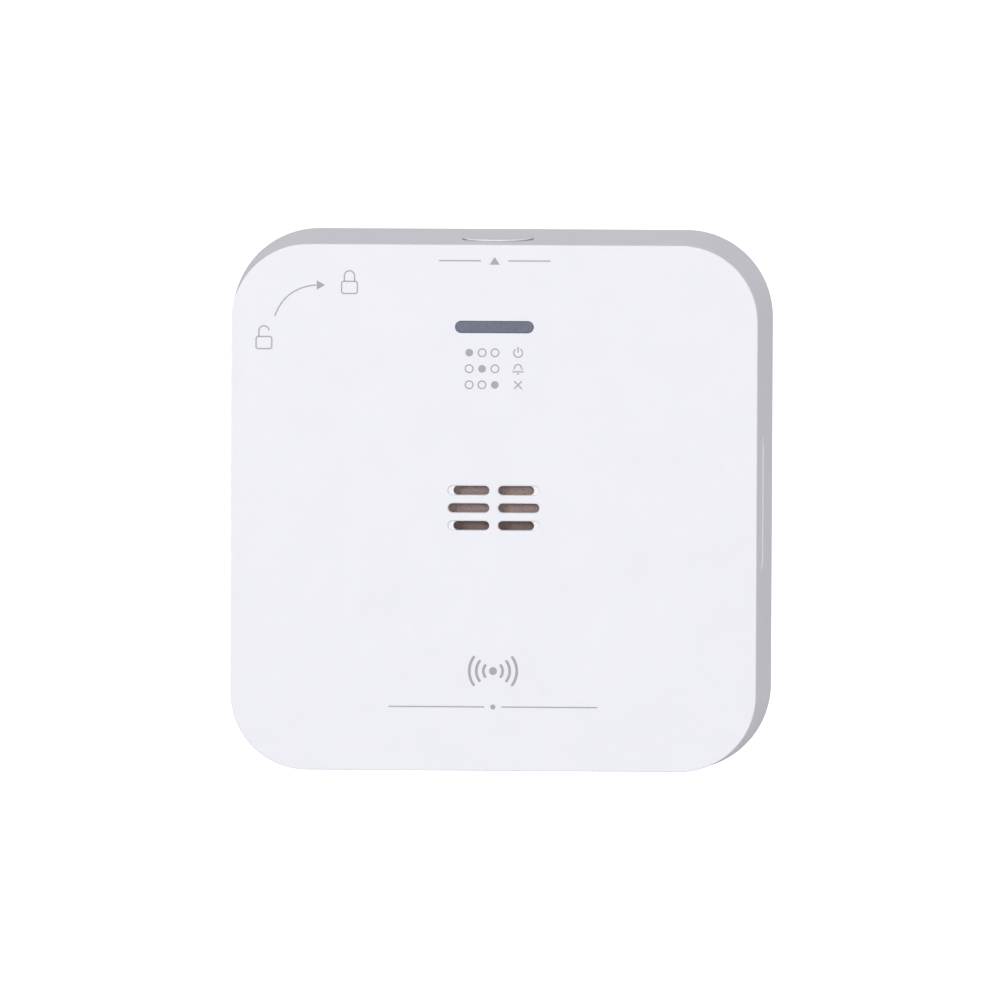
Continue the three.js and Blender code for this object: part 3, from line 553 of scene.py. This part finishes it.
def hook(angle):
    """A bayonet hook: an upright rib with a tongue that points outwards."""
    start, end = angle - HOOK["half"], angle + HOOK["half"]
    rib_top, tongue_edge = HOOK["top"] - 0.2, 0.25
    return join(
        slab(ring_sector(HOOK["inner"], HOOK["outer"], start, end), PLATE_FRONT - THROUGH, rib_top),
        slab(ring_sector(HOOK["inner"], HOOK["tip"], start, end), HOOK["under"], HOOK["top"], tongue_edge),
    )


def mounting_plate():
    """A round plate with pockets in its wall face, two screw slots, three hooks and a peg."""
    pocket_inner, pocket_outer, pocket_depth, pocket_span = 20.5, 31, 0.9, 32
    plate_edge, pocket_edge, slot_edge, peg_edge = 0.4, 0.15, 0.2, 0.3
    disc = slab(circle(PLATE["right"], steps=LARGE_STEPS), 0, PLATE_FRONT, plate_edge, plate_edge)
    pockets = [
        stack(
            ring_sector(pocket_inner, pocket_outer, start + turn, start + turn + pocket_span),
            chamfered(0, pocket_edge, pocket_depth),
        )
        for turn in (0, 180)
        for start in (20, 56, 92, 128)
    ]
    slots = []
    seat_length = SLOT["length"] + SLOT["seat_width"] - SLOT["width"]
    for side, is_upright in ((-1, False), (1, True)):
        x = side * SLOT["offset"]
        way = round_ended(SLOT["length"], SLOT["width"], x, 0, is_upright)
        seat = round_ended(seat_length, SLOT["seat_width"], x, 0, is_upright)
        slots.append(stack(way, chamfered(0, slot_edge, PLATE_FRONT + THROUGH)))
        slots.append(hole_cutter(seat, PLATE_FRONT, PLATE_FRONT - SLOT["seat_depth"], slot_edge))
    peg = slab(circle(PEG["radius"], 0, PEG["height"]), PLATE_FRONT - THROUGH, PEG["top"], peg_edge)
    return join(cut(disc, *pockets, *slots), peg, *[hook(angle) for angle in HOOK_ANGLES])


def hook_way_cutters(angle):
    """The way a hook takes through the rear cover: wide where it enters, narrow where it locks."""
    slack, play = 1, 0.4
    start = angle - TWIST - HOOK["half"] - slack
    end = angle + HOOK["half"] + slack
    entry_end = angle - TWIST + HOOK["half"] + slack / 2
    ends = (RECESS["depth"] - THROUGH, COVER_TOP + THROUGH)
    inner = HOOK["inner"] - play
    return [
        slab(ring_sector(inner, HOOK["outer"] + play, start, end), *ends),
        slab(ring_sector(inner, HOOK["tip"] + play, start, entry_end), *ends),
    ]


def slider_rails():
    """Two rails with lips that hold the activation slider down."""
    left, right, near, far, top = -8, 10, 3, 3.8, 8.5
    lip, lip_back = 0.7, 7.8
    rails = []
    for side in (-1, 1):
        for reach, back in ((0, COVER_TOP - THROUGH), (lip, lip_back)):
            across = sorted(PEG["height"] + side * step for step in (near - reach, far))
            rails.append(block(left, right, *across, back, top))
    return rails


def rear_cover():
    """The flat cover with its plate recess, hook ways, board posts, screw holes and slider rails."""
    gap = 0.35
    cover_edge, recess_edge, seat_edge, post_edge = 0.3, 0.25, 0.2, 0.2
    post_radius, bore, bore_floor = 3, 1, 8
    screw_hole, screw_seat, seat_floor = 1.7, 3.3, 3.4
    left, right, bottom, top = -2.95, 5.05, 6, 10  # the window for the peg
    back = REAR["back"]
    beyond = COVER_TOP + THROUGH
    profile = edge_over(flare(back) - WALL - gap, back, cover_edge, -1)
    profile += [(flare(COVER_TOP) - WALL - gap, COVER_TOP)]
    recess = stack(circle(RECESS["radius"], steps=LARGE_STEPS), chamfered(back, recess_edge, RECESS["depth"]))
    posts = [
        slab(circle(post_radius, x, z), COVER_TOP - THROUGH, REAR["front"], post_edge)
        for x, z in BOARD_SCREWS
    ]
    bores = [post(bore, bore_floor, REAR["front"] + THROUGH, x, z) for x, z in BOARD_SCREWS]
    screw_ways = []
    for x, z in case_corners():
        screw_ways.append(post(screw_hole, 0, beyond, x, z))
        seat = chamfered(back, seat_edge, seat_floor, overrun=back)
        screw_ways.append(stack(circle(screw_seat, x, z), seat))
    ways = [cutter for angle in HOOK_ANGLES for cutter in hook_way_cutters(angle)]
    window = block(left, right, bottom, top, 0, beyond)
    body = join(cut(stack(case_outline(), profile), recess), *posts, *slider_rails())
    return cut(body, *bores, *screw_ways, *ways, window)


# ---- Screws ----


def cross_recess(x, z, radius, mouth, floor):
    """Two crossed cutters that narrow towards the floor of the recess."""
    reach, half = 0.58 * radius, 0.12 * radius
    narrow = 0.55
    wings = []
    for wide, tall in ((reach, half), (half, reach)):
        corners = [(-wide, -tall), (wide, -tall), (wide, tall), (-wide, tall)]
        levels = ((1, mouth - THROUGH), (1, mouth), (narrow, floor))
        rings = [[(x + share * dx, depth, z + share * dz) for dx, dz in corners] for share, depth in levels]
        wings.append(skin(rings))
    return wings


def screw(node, head, head_height, shank, pitch):
    """Pan head towards the wall with a tapering cross recess, and a threaded shank."""
    box = node_box(node)
    x, z = (box["left"] + box["right"]) / 2, (box["bottom"] + box["top"]) / 2
    back, tip = box["back"], box["front"]
    under_head = back + head_height
    dome, dome_steps = 0.45 * head_height, 8
    core = 0.8 * shank
    profile = [(NEEDLE, back)]
    profile += [
        (head * math.sin(turn), back + dome * (1 - math.cos(turn))) for turn in quarter_turn(dome_steps)[1:]
    ]
    profile += [(head, under_head), (core, under_head)]
    depth = under_head + 0.3
    while depth + pitch < tip - 2 * shank:
        profile += [(core, depth), (shank, depth + 0.45 * pitch), (shank, depth + 0.55 * pitch)]
        depth += pitch
    profile += [(core, depth), (core, tip - 2 * core), (NEEDLE, tip)]
    recess_floor = back + 0.62 * head_height
    return cut(stack(circle(0, x, z), profile), *cross_recess(x, z, head, back, recess_floor))


# ---- Print on the face ----

INK_DEPTHS = (FACE_DEPTH - INK_HEIGHT / 2, CASE["front"])
DOT_STEPS = 24


def prism(points):
    """A flat figure in ink on the face."""
    return skin([[(x, depth, z) for x, z in points] for depth in INK_DEPTHS])


def side_steps(points, is_closed):
    """The unit direction to the left of a path at each of its points."""
    count = len(points)
    sideways = []
    for i in range(count):
        before = points[(i - 1) % count] if is_closed or i > 0 else points[i]
        after = points[(i + 1) % count] if is_closed or i < count - 1 else points[i]
        run, rise = after[0] - before[0], after[1] - before[1]
        length = math.hypot(run, rise)
        sideways.append((-rise / length, run / length))
    return sideways


def half_turn(point, sideways, radius):
    """A half circle round a line's end, from its left side past the end to its right side."""
    steps = 6
    start = math.degrees(math.atan2(sideways[1], sideways[0]))
    return arc(*point, radius, start, start - 180, steps)


def stroke(points, width=INK_LINE):
    """A line of ink along an open path, with round ends."""
    sideways = side_steps(points, False)
    half = width / 2
    inner = list(zip(points, sideways))[1:-1]
    left = [(x + sx * half, z + sz * half) for (x, z), (sx, sz) in inner]
    right = [(x - sx * half, z - sz * half) for (x, z), (sx, sz) in inner]
    far_end = half_turn(points[-1], sideways[-1], half)
    near_end = half_turn(points[0], (-sideways[0][0], -sideways[0][1]), half)
    return prism(left + far_end + right[::-1] + near_end)


def loop(points):
    """A line of ink round a closed path."""
    half = INK_LINE / 2
    sideways = side_steps(points, True)
    count = len(points)
    corners = [
        (x + side * sx * half, depth, z + side * sz * half)
        for side in (1, -1)
        for depth in INK_DEPTHS
        for (x, z), (sx, sz) in zip(points, sideways)
    ]
    section = [0, 1, 3, 2]  # the four edge lines, in order round the ink's cross-section
    faces = []
    for near, far in zip(section, section[1:] + section[:1]):
        faces += band_faces(near * count, far * count, count)
    return to_object(corners, faces)


def round_points(x, z, radius):
    """Points round a full circle, the first not repeated."""
    return arc(x, z, radius, 0, 360 - 360 / DOT_STEPS, DOT_STEPS - 1)


def dot(x, z, radius):
    return prism(round_points(x, z, radius))


def ring(x, z, radius):
    return loop(round_points(x, z, radius))


def padlock(middle, bottom, is_open):
    """A plain padlock in outline."""
    width, height, corner, corner_steps = 2.65, 2.1, 0.35, 6
    radius, rise, bow_steps, open_end = 0.8, 0.75, 12, 12
    top = bottom + height
    centre = bottom + height / 2
    body = rounded_rectangle(width - INK_LINE, height - INK_LINE, corner, middle, centre, corner_steps)
    shackle = [(middle - radius, top)]
    shackle += arc(middle, top + rise, radius, 180, open_end if is_open else 0, bow_steps)
    if not is_open:
        shackle.append((middle + radius, top))
    return [loop(body(0)), stroke(shackle)]


def turn_arrow():
    """A curved arrow from the open padlock to the closed one."""
    start, bend, end = Vector((-34.2, 29.8)), Vector((-32.6, 34.2)), Vector((-27.8, 34.6))
    steps = 20
    shares = [step / steps for step in range(steps + 1)]
    path = [start.lerp(bend, share).lerp(bend.lerp(end, share), share) for share in shares]
    head_length, head_half = 1.3, 0.73
    base = end.x + INK_LINE / 2
    head = [(base, end.y - head_half), (base + head_length, end.y), (base, end.y + head_half)]
    return [stroke(path), prism(head)]


def power_sign(x, z):
    """An open ring with an upright bar in its gap."""
    radius, half_gap, steps = 0.68, 40, 24
    bar_from, bar_to = 0.1, 0.85
    return [
        stroke(arc(x, z, radius, 90 + half_gap, 450 - half_gap, steps)),
        stroke([(x, z + bar_from), (x, z + bar_to)]),
    ]


def bell_sign(x, z):
    """A bell in outline with its clapper below."""
    foot, half_foot = z - 0.45, 0.85
    radius, rise, steps = 0.5, 0.2, 12
    clapper, clapper_drop = 0.15, 0.32
    outline = arc(x, z + rise, radius, 0, 180, steps)
    outline += [(x - half_foot, foot), (x + half_foot, foot)]
    return [loop(outline), dot(x, foot - clapper_drop, clapper)]


def cross_sign(x, z):
    """A diagonal cross."""
    reach, half = 0.85, INK_LINE / 2
    points = []
    for quarter in range(4):
        turn = math.radians(45 + 90 * quarter)
        along = Vector((math.cos(turn), math.sin(turn)))
        aside = along.orthogonal()
        corners = (along * reach - aside * half, along * reach + aside * half, (along + aside) * half)
        points += [(x + corner.x, z + corner.y) for corner in corners]
    return [prism(points)]


def light_legend():
    """Three rows: which of the three lights is on, and a sign for what it means."""
    rows = ((24.2, power_sign), (21.7, bell_sign), (19.2, cross_sign))
    pitch, radius = 2, 0.6
    lights_middle, sign_middle = -1.9, 3.7
    figures = []
    for lit, (z, sign) in enumerate(rows):
        for place in range(len(rows)):
            x = lights_middle + (place - 1) * pitch
            figures.append(dot(x, z, radius) if place == lit else ring(x, z, radius))
        figures += sign(sign_middle, z)
    return figures


def side_lines(z, near, far):
    """Two thin level lines, one on each side of the middle."""
    return [stroke([(side * near, z), (side * far, z)]) for side in (-1, 1)]


def press_mark(z):
    """A triangle that points up at the button, between two thin lines."""
    half, height, line_from, line_to = 0.8, 1.2, 2.2, 8.6
    triangle = prism([(-half, z - height / 2), (half, z - height / 2), (0, z + height / 2)])
    return [triangle] + side_lines(z, line_from, line_to)


def emblem(z):
    """A neutral sign: a dot with arcs on each side."""
    half_span, steps = 36, 18
    dot_radius, arc_radii = 0.62, (1.5, 2.6, 3.7)
    figures = [dot(0, z, dot_radius)]
    for radius in arc_radii:
        for middle in (0, 180):
            path = arc(0, z, radius, middle - half_span, middle + half_span, steps)
            figures.append(stroke(path, BOLD_LINE))
    return figures


def rule(z):
    """A thin line across the lower face with a dot at its middle."""
    dot_radius, line_from, line_to = 0.4, 1.4, 16.2
    return [dot(0, z, dot_radius)] + side_lines(z, line_from, line_to)


def face_print():
    """All the signs on the face, as one piece."""
    figures = press_mark(z=38.5) + light_legend() + emblem(z=-25.4) + rule(z=-31)
    figures += padlock(-22.6, 33.2, False) + padlock(-35.9, 24.55, True) + turn_arrow()
    whole = bmesh.new()
    for figure in figures:
        whole.from_mesh(figure.data)
        bpy.data.objects.remove(figure)
    mesh = bpy.data.meshes.new("shape")
    whole.to_mesh(mesh)
    whole.free()
    return linked("shape", mesh)


# ---- Materials ----

SLOT_COLOURS = {entry["slot"]: entry["base_color"] for entry in frame["record"]["materials"]}
PER_MM = 1 / MM  # a texture of scale PER_MM repeats about once a millimetre
NOISE_LOW, NOISE_HIGH = 0.3, 0.7  # noise seldom leaves this range
WHITE = (1, 1, 1, 1)
SATIN_SPECULAR = 0.4
MATT_SPECULAR = 0.3


def linear(colour):
    """A screen colour, each part from 0 to 1, as scene light."""
    parts = [part / 12.92 if part <= 0.04045 else ((part + 0.055) / 1.055) ** 2.4 for part in colour]
    return (*parts, 1)


class Nodes:
    """The nodes of a material or of the world."""

    def __init__(self, owner):
        owner.use_nodes = True
        self.tree = owner.node_tree

    def add(self, kind, inputs=None, **settings):
        node = self.tree.nodes.new("ShaderNode" + kind)
        for key, value in settings.items():
            setattr(node, key, value)
        for key, value in (inputs or {}).items():
            self.set(node.inputs[key], value)
        return node

    def set(self, socket, value):
        if isinstance(value, bpy.types.NodeSocket):
            self.tree.links.new(value, socket)
        else:
            socket.default_value = value

    def maths(self, operation, first, second):
        node = self.add("Math", {0: first, 1: second}, operation=operation)
        return node.outputs["Value"]

    def dot(self, first, second):
        """The dot product of two vectors."""
        node = self.add("VectorMath", {0: first, 1: second}, operation="DOT_PRODUCT")
        return node.outputs["Value"]


class Surface(Nodes):
    """A material whose colour, roughness and bump are worked out by nodes."""

    def __init__(self, name):
        self.material = bpy.data.materials.new(name + "_finish")
        super().__init__(self.material)
        self.shader = self.tree.nodes["Principled BSDF"]
        self.place = self.add("TexCoord").outputs["Object"]

    def noise(self, size, detail=3, stretch=None):
        """Cloudy values about 0.5, with blots about this many millimetres across."""
        place = self.place
        if stretch:
            place = self.add("Mapping", {"Vector": place, "Scale": stretch}).outputs["Vector"]
        inputs = {"Vector": place, "Scale": PER_MM / size, "Detail": detail}
        return self.add("TexNoise", inputs).outputs["Fac"]

    def cells(self, size, **settings):
        """Distance from the middle of the nearest cell. The cells are about this many millimetres across."""
        inputs = {"Vector": self.place, "Scale": PER_MM / size}
        return self.add("TexVoronoi", inputs, **settings).outputs["Distance"]

    def remap(self, value, low, high, start=NOISE_LOW, end=NOISE_HIGH):
        """The value taken from the range between start and end to the range between low and high."""
        inputs = {"Value": value, "From Min": start, "From Max": end, "To Min": low, "To Max": high}
        return self.add("MapRange", inputs).outputs["Result"]

    def mix(self, amount, first, second):
        inputs = {"Factor": amount, "A": first, "B": second}
        return self.add("Mix", inputs, data_type="RGBA").outputs["Result"]

    def blend(self, noise, first, second, most=1):
        """The first colour where the noise is low, more and more of the second where it is high."""
        return self.mix(self.remap(noise, 0, most), first, second)

    def edges(self, radius):
        """1 along sharp edges, fading to 0 within this many millimetres."""
        full_bend, no_bend = 0.85, 0.995
        rounded = self.add("Bevel", {"Radius": radius * MM}, samples=4).outputs["Normal"]
        plain = self.add("NewGeometry").outputs["Normal"]
        return self.remap(self.dot(rounded, plain), 1, 0, full_bend, no_bend)

    def bump(self, height, depth, base=None):
        """Relief of this many millimetres from values between 0 and 1."""
        inputs = {"Height": height, "Distance": depth * MM, "Strength": 1.0}
        if base is not None:
            inputs["Normal"] = base
        return self.add("Bump", inputs).outputs["Normal"]

    def finish(self, colour, roughness, normal=None, **others):
        inputs = {"Base Color": colour, "Roughness": roughness, **others}
        if normal is not None:
            inputs["Normal"] = normal
        for key, value in inputs.items():
            self.set(self.shader.inputs[key.replace("_", " ")], value)
        return self.material


def scaled(colour, factor):
    return (*[part * factor for part in colour[:3]], 1)


def begin(slot):
    """A new surface, and the colour of its slot."""
    return Surface(slot), linear(SLOT_COLOURS[slot])


def plastic(slot, roughness, mottle, grain, relief, edge_sheen):
    """Moulded plastic: spark-eroded grain, faint colour clouds, and slightly polished edges with a painted
    highlight along them.
    """
    cloud_size, gloss_size, sheen_and_polish_width = 6, 2.5, 0.3
    speckle_strength, gloss_change, polish = 2.2 * mottle, 0.06, 0.12
    surface, base = begin(slot)
    clouds = surface.noise(cloud_size, 2)
    grains = surface.noise(grain, 4)
    colour = surface.blend(clouds, scaled(base, 1 - mottle), base)
    speckle = surface.noise(0.6 * grain, 2)
    colour = surface.blend(speckle, colour, scaled(base, 1 - speckle_strength), 0.8)
    gloss = surface.noise(gloss_size, 3)
    rough = surface.remap(gloss, roughness - gloss_change, roughness + gloss_change)
    # painted highlight: the edges are lightened towards white; the lower roughness there is real polish
    if edge_sheen:
        sheen_and_polish_mask = surface.edges(sheen_and_polish_width)
        colour = surface.mix(surface.maths("MULTIPLY", sheen_and_polish_mask, edge_sheen), colour, WHITE)
        rough = surface.maths("SUBTRACT", rough, surface.maths("MULTIPLY", sheen_and_polish_mask, polish))
    return surface.finish(colour, rough, surface.bump(grains, relief), Specular_IOR_Level=SATIN_SPECULAR)


def metal(slot, roughness, stretch):
    """Metal with drawn or rolled lines along the stretched direction and a little tarnish."""
    line_width, line_relief, cloud_size = 0.25, 0.002, 3
    tarnished, sheen_and_polish_tone, sheen_and_polish_width = 0.7, 1.15, 0.12
    surface, base = begin(slot)
    lines = surface.noise(line_width, 4, stretch)
    clouds = surface.noise(cloud_size, 3)
    colour = surface.blend(clouds, base, scaled(base, tarnished))
    # edges painted brighter: partly rubbed polish, partly a painted highlight
    sheen_and_polish_mask = surface.edges(sheen_and_polish_width)
    colour = surface.mix(surface.maths("MULTIPLY", sheen_and_polish_mask, 0.5), colour, scaled(base, sheen_and_polish_tone))
    rough = surface.remap(lines, roughness - 0.08, roughness + 0.12)
    return surface.finish(colour, rough, surface.bump(lines, line_relief), Metallic=1.0)


def cloth(slot):
    """Brown-grey woven cloth, darker in the hollows between threads, with painted shade darkening it towards
    its lower edge and a faint painted glow in its shadows.
    """
    light, middle, dark, painted_shade_tone = 1.5, 1.2, 0.45, 0.42
    fibre_size, patch_size = 0.12, 1.2
    # painted shade towards the lower edge: the height where it starts, where it is full, and how strong it is
    painted_shade_from, painted_shade_to, painted_shade_strength = -1.9, -3.2, 0.48
    surface, base = begin(slot)
    tint = (*base[:2], 1.1 * base[2], 1)
    fibres = surface.noise(fibre_size, 4)
    patches = surface.noise(patch_size, 3)
    colour = surface.blend(patches, scaled(tint, light), scaled(tint, middle))
    colour = surface.blend(fibres, colour, scaled(tint, dark))
    # painted shade: the colour darkens towards the cloth's lower edge, where the lowest row of vents lies in
    # shade
    height = surface.add("SeparateXYZ", {"Vector": surface.place}).outputs["Z"]
    low = surface.remap(height, painted_shade_strength, 0, painted_shade_to * MM, painted_shade_from * MM)
    colour = surface.mix(low, colour, scaled(tint, painted_shade_tone))
    rough = surface.remap(fibres, 0.8, 0.95)
    glow = {"Emission_Color": (1, 0.42, 0.28, 1), "Emission_Strength": 0.02}  # painted glow: a faint brown emission standing in for light bounced into the cloth's shadows
    return surface.finish(colour, rough, surface.bump(fibres, 0.02), Sheen_Weight=0.1, **glow)


def felt(slot):
    """Pressed granular felt."""
    granule_size, patch_size = 0.5, 0.8
    surface, base = begin(slot)
    granules = surface.cells(granule_size)
    colour = surface.blend(surface.noise(patch_size), base, scaled(base, 1.9))
    return surface.finish(colour, 0.95, surface.bump(granules, 0.06))


def lens(slot):
    """Tinted clear resin with faint flow marks."""
    surface, base = begin(slot)
    flow = surface.noise(1.5, 2)
    colour = surface.blend(flow, base, scaled(base, 0.8))
    rough = surface.remap(flow, 0.08, 0.2)
    return surface.finish(colour, rough, surface.bump(flow, 0.01), Coat_Weight=0.4, Coat_Roughness=0.1)


def light_guide(slot):
    """Smoked slate light guide with a fine matt texture."""
    dark, middle, light = 0.68, 0.78, 1.12
    grain_size, cloud_size = 0.22, 1.6
    surface, base = begin(slot)
    grains = surface.noise(grain_size, 4)
    clouds = surface.noise(cloud_size, 2)
    colour = surface.blend(clouds, scaled(base, dark), scaled(base, middle))
    colour = surface.blend(grains, colour, scaled(base, light), 0.8)
    rough = surface.remap(grains, 0.42, 0.6)
    return surface.finish(colour, rough, surface.bump(grains, 0.008), Specular_IOR_Level=MATT_SPECULAR)


def board(slot):
    """Green solder mask over copper tracks, with tinned dots."""
    track_pitch, dot_pitch = 4, 5
    tin = linear((0.75, 0.76, 0.74))
    surface, base = begin(slot)
    on_track = surface.remap(surface.cells(track_pitch, distance="MANHATTAN"), 1, 0, 0.42, 0.5)
    on_dot = surface.remap(surface.cells(dot_pitch), 1, 0, 0.07, 0.09)
    fibres = surface.noise(0.5, 4)
    colour = surface.blend(fibres, base, scaled(base, 0.8))
    colour = surface.mix(surface.maths("MULTIPLY", on_track, 0.5), colour, scaled(base, 1.7))
    colour = surface.mix(on_dot, colour, tin)
    rough = surface.remap(fibres, 0.3, 0.42)
    normal = surface.bump(on_track, 0.03, surface.bump(fibres, 0.004))
    return surface.finish(colour, rough, normal, Coat_Weight=0.3, Coat_Roughness=0.2)


def sleeve(slot):
    """Shrink sleeve of a battery cell: lengthwise creases and a lighter band round one end."""
    band_left, band_blur = 10.0, 0.1
    band_colour = linear((0.80, 0.78, 0.72))
    lengthwise = (0.15, 1, 1)
    surface, base = begin(slot)
    along = surface.add("SeparateXYZ", {"Vector": surface.place}).outputs["X"]
    band = surface.remap(along, 0, 1, (band_left - band_blur) * MM, band_left * MM)
    creases = surface.noise(0.9, 3, lengthwise)
    colour = surface.blend(creases, base, scaled(base, 0.85))
    colour = surface.mix(band, colour, band_colour)
    rough = surface.remap(creases, 0.28, 0.4)
    return surface.finish(colour, rough, surface.bump(creases, 0.04), Coat_Weight=0.25)


def winding(slot):
    """Enamelled wire in close turns round the coil."""
    turns_scale = 0.8 * PER_MM
    surface, base = begin(slot)
    wave = surface.add("TexWave", {"Vector": surface.place, "Scale": turns_scale}, bands_direction="Y")
    turns = wave.outputs["Fac"]
    # painted shade: the colour darkens steeply in the grooves between the turns
    colour = surface.mix(turns, scaled(base, 0.35), base)
    return surface.finish(colour, surface.remap(turns, 0.3, 0.45), surface.bump(turns, 0.12), Metallic=0.8)


def ink():
    """Grey screen-printed ink, a little thin in places."""
    full, thin, thick = linear((0.67, 0.67, 0.68)), linear((0.73, 0.73, 0.74)), linear((0.64, 0.64, 0.65))
    surface = Surface("grey_ink")
    cover = surface.noise(0.15, 4)
    patches = surface.noise(1.2, 2)
    colour = surface.blend(cover, full, thin, 0.35)
    colour = surface.blend(patches, colour, thick, 0.3)
    rough = surface.remap(cover, 0.5, 0.65)
    return surface.finish(colour, rough, surface.bump(cover, 0.003), Specular_IOR_Level=MATT_SPECULAR)


FINISHES = (
    # roughness, mottle, grain, relief, edge sheen (strength of the painted highlight along the edges)
    (plastic, "white_plastic", 0.5, 0.026, 0.35, 0.013, 0.5),
    (plastic, "button_plastic", 0.42, 0.012, 0.35, 0.004, 0.6),
    (plastic, "black_plastic", 0.5, 0.12, 0.35, 0.006, 0.06),
    (plastic, "grey_plastic", 0.48, 0.08, 0.35, 0.006, 0.12),
    (plastic, "ivory_plastic", 0.5, 0.05, 0.35, 0.006, 0.3),
    (plastic, "chip_black", 0.6, 0.15, 0.15, 0.01, 0.05),
    (plastic, "ferrite", 0.7, 0.2, 0.25, 0.02, 0.05),
    (plastic, "piezo_ceramic", 0.5, 0.08, 0.2, 0.01, 0),
    (plastic, "red_cable", 0.5, 0.08, 0.5, 0.01, 0),
    (plastic, "black_cable", 0.5, 0.12, 0.5, 0.01, 0),
    # roughness, stretch
    (metal, "steel", 0.32, (1, 0.2, 1)),
    (metal, "nickel", 0.25, (1, 0.3, 1)),
    (metal, "brass", 0.3, (0.1, 1, 1)),
    (winding, "copper_wire"),
    (light_guide, "slate_light_pipe"),
    (cloth, "mesh_cloth"),
    (felt, "charcoal_felt"),
    (lens, "green_lens"),
    (lens, "red_lens"),
    (lens, "yellow_lens"),
    (board, "circuit_board"),
    (sleeve, "cell_sleeve"),
)
MATERIALS = {slot: finish(slot, *values) for finish, slot, *values in FINISHES}

# ---- Pieces ----


def build(shape, name, stands_for, sharp_angle=SHARP_ANGLE):
    """Finishes a shape and gives it the body and the material slot of the CAD node it stands for."""
    node = frame["nodes"][stands_for]
    slot = node.data.materials[0].name
    add_piece(smooth(shape, sharp_angle), name, body_of(node)[0], MATERIALS[slot])
    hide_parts(stands_for)


def soften(node):
    """Welds a CAD node's split corners and rounds its edges a little, as modifiers."""
    gap, edge, rounded_from = 1e-3 * MM, 0.06 * MM, math.radians(40)
    modify(node, "WELD", merge_threshold=gap)
    modify(
        node, "BEVEL", width=edge, segments=2, limit_method="ANGLE", angle_limit=rounded_from,
        harden_normals=True,
    )
    node.data.shade_smooth()


build(front_cover(), "front_shell", "front_cover")
build(rear_cover(), "rear_shell", "rear_cover")
build(mounting_plate(), "wall_plate", "mounting_plate")
build(light_bar(), "light_bar", "light_pipe")
build(vent_cloth(), "vent_cloth", "vent_mesh", CLOTH_ANGLE)
build(test_button(), "button_cap", "test_button")
for number in range(1, 5):
    for place, size in SCREWS.items():
        node = f"{place}_screw_{number}"
        build(screw(node, *size), f"{place}_pan_screw_{number}", node)
add_piece(face_print(), "face_print", "alarm", ink())

for node in frame["nodes"].values():
    if not node.hide_render:
        soften(node)
        node.material_slots[0].material = MATERIALS[node.data.materials[0].name]

# ---- Floor, light and camera ----

FACE_CENTRE = Vector((0, -CASE["front"] * MM, 0))


def facing(azimuth, elevation):
    """The direction from the detector to a lamp or camera. Azimuth 0 is in front, 90 to the right."""
    across, up = math.radians(azimuth), math.radians(elevation)
    return Vector((math.sin(across) * math.cos(up), -math.cos(across) * math.cos(up), math.sin(up)))


def studio_floor():
    """A wide pale floor a little below the detector, brightened for the camera to meet the background."""
    height, reach = -0.06, 60
    speckle_size, camera_glow = 40, 0.9
    mesh = bpy.data.meshes.new("studio_floor")
    corners = [(-reach, -reach), (reach, -reach), (reach, reach), (-reach, reach)]
    mesh.from_pydata([(x, y, height) for x, y in corners], [], [(0, 1, 2, 3)])
    linked("studio_floor", mesh)
    surface = Surface("pale_floor")
    ray = surface.add("LightPath").outputs["Is Camera Ray"]
    speckle = surface.remap(surface.noise(speckle_size, 3), 0.78, 0.82)
    colour = surface.add("CombineColor", {"Red": speckle, "Green": speckle, "Blue": speckle})
    glow = {"Emission_Color": WHITE, "Emission_Strength": surface.maths("MULTIPLY", ray, camera_glow)}
    mesh.materials.append(surface.finish(colour.outputs["Color"], 0.9, Specular_IOR_Level=0.0, **glow))


def studio_world(strength, rightward, upward):
    """Soft light all round, a little stronger from the right and from above. The camera sees white."""
    soft_white = (0.985, 0.965, 1.0, 1)
    world = bpy.data.worlds.new("studio")
    bpy.context.scene.world = world
    sky = Nodes(world)
    towards = sky.add("TexCoord").outputs["Generated"]
    total = sky.maths("ADD", sky.dot(towards, (rightward, 0, upward)), strength)
    light = sky.tree.nodes["Background"]
    sky.set(light.inputs["Color"], soft_white)
    sky.set(light.inputs["Strength"], total)
    seen = sky.add("Background", {"Color": WHITE, "Strength": 1.0})
    ray = sky.add("LightPath").outputs["Is Camera Ray"]
    both = sky.add("MixShader", {"Fac": ray, 1: light.outputs[0], 2: seen.outputs[0]})
    sky.set(sky.tree.nodes["World Output"].inputs["Surface"], both.outputs["Shader"])


def soft_box(name, azimuth, elevation, power):
    """A square lamp that faces the middle of the detector."""
    distance, size = 3.0, 0.7
    lamp = bpy.data.lights.new(name, "AREA")
    lamp.size = size
    lamp.energy = power
    away = facing(azimuth, elevation)
    made = linked(name, lamp)
    made.location = FACE_CENTRE + away * distance
    made.rotation_euler = away.to_track_quat("Z", "Y").to_euler()


def camera(azimuth, elevation, roll):
    """Almost square on, from two metres away."""
    distance = 2.0
    frame_width = 0.1558  # metres across the picture at the face
    aim_right, aim_up = 0.00106, 0.0012
    back = facing(azimuth, elevation)
    turn = back.to_track_quat("Z", "Y").to_matrix()
    right, up = turn.col[0], turn.col[1]
    optics = bpy.data.cameras.new("camera")
    optics.sensor_width = 36
    optics.lens = optics.sensor_width * distance / frame_width
    optics.clip_start, optics.clip_end = 0.1, 200
    made = linked("camera", optics)
    made.location = FACE_CENTRE + right * aim_right + up * aim_up + back * distance
    made.rotation_mode = "QUATERNION"
    made.rotation_quaternion = (turn @ Matrix.Rotation(math.radians(roll), 3, "Z")).to_quaternion()
    bpy.context.scene.camera = made


studio_floor()
studio_world(strength=0.42, rightward=0.14, upward=0.2)
soft_box("left key", azimuth=-30, elevation=12, power=30)
soft_box("right key", azimuth=7, elevation=8, power=18)
camera(azimuth=2.35, elevation=2.65, roll=0.24)
bpy.context.scene.view_settings.view_transform = "Standard"
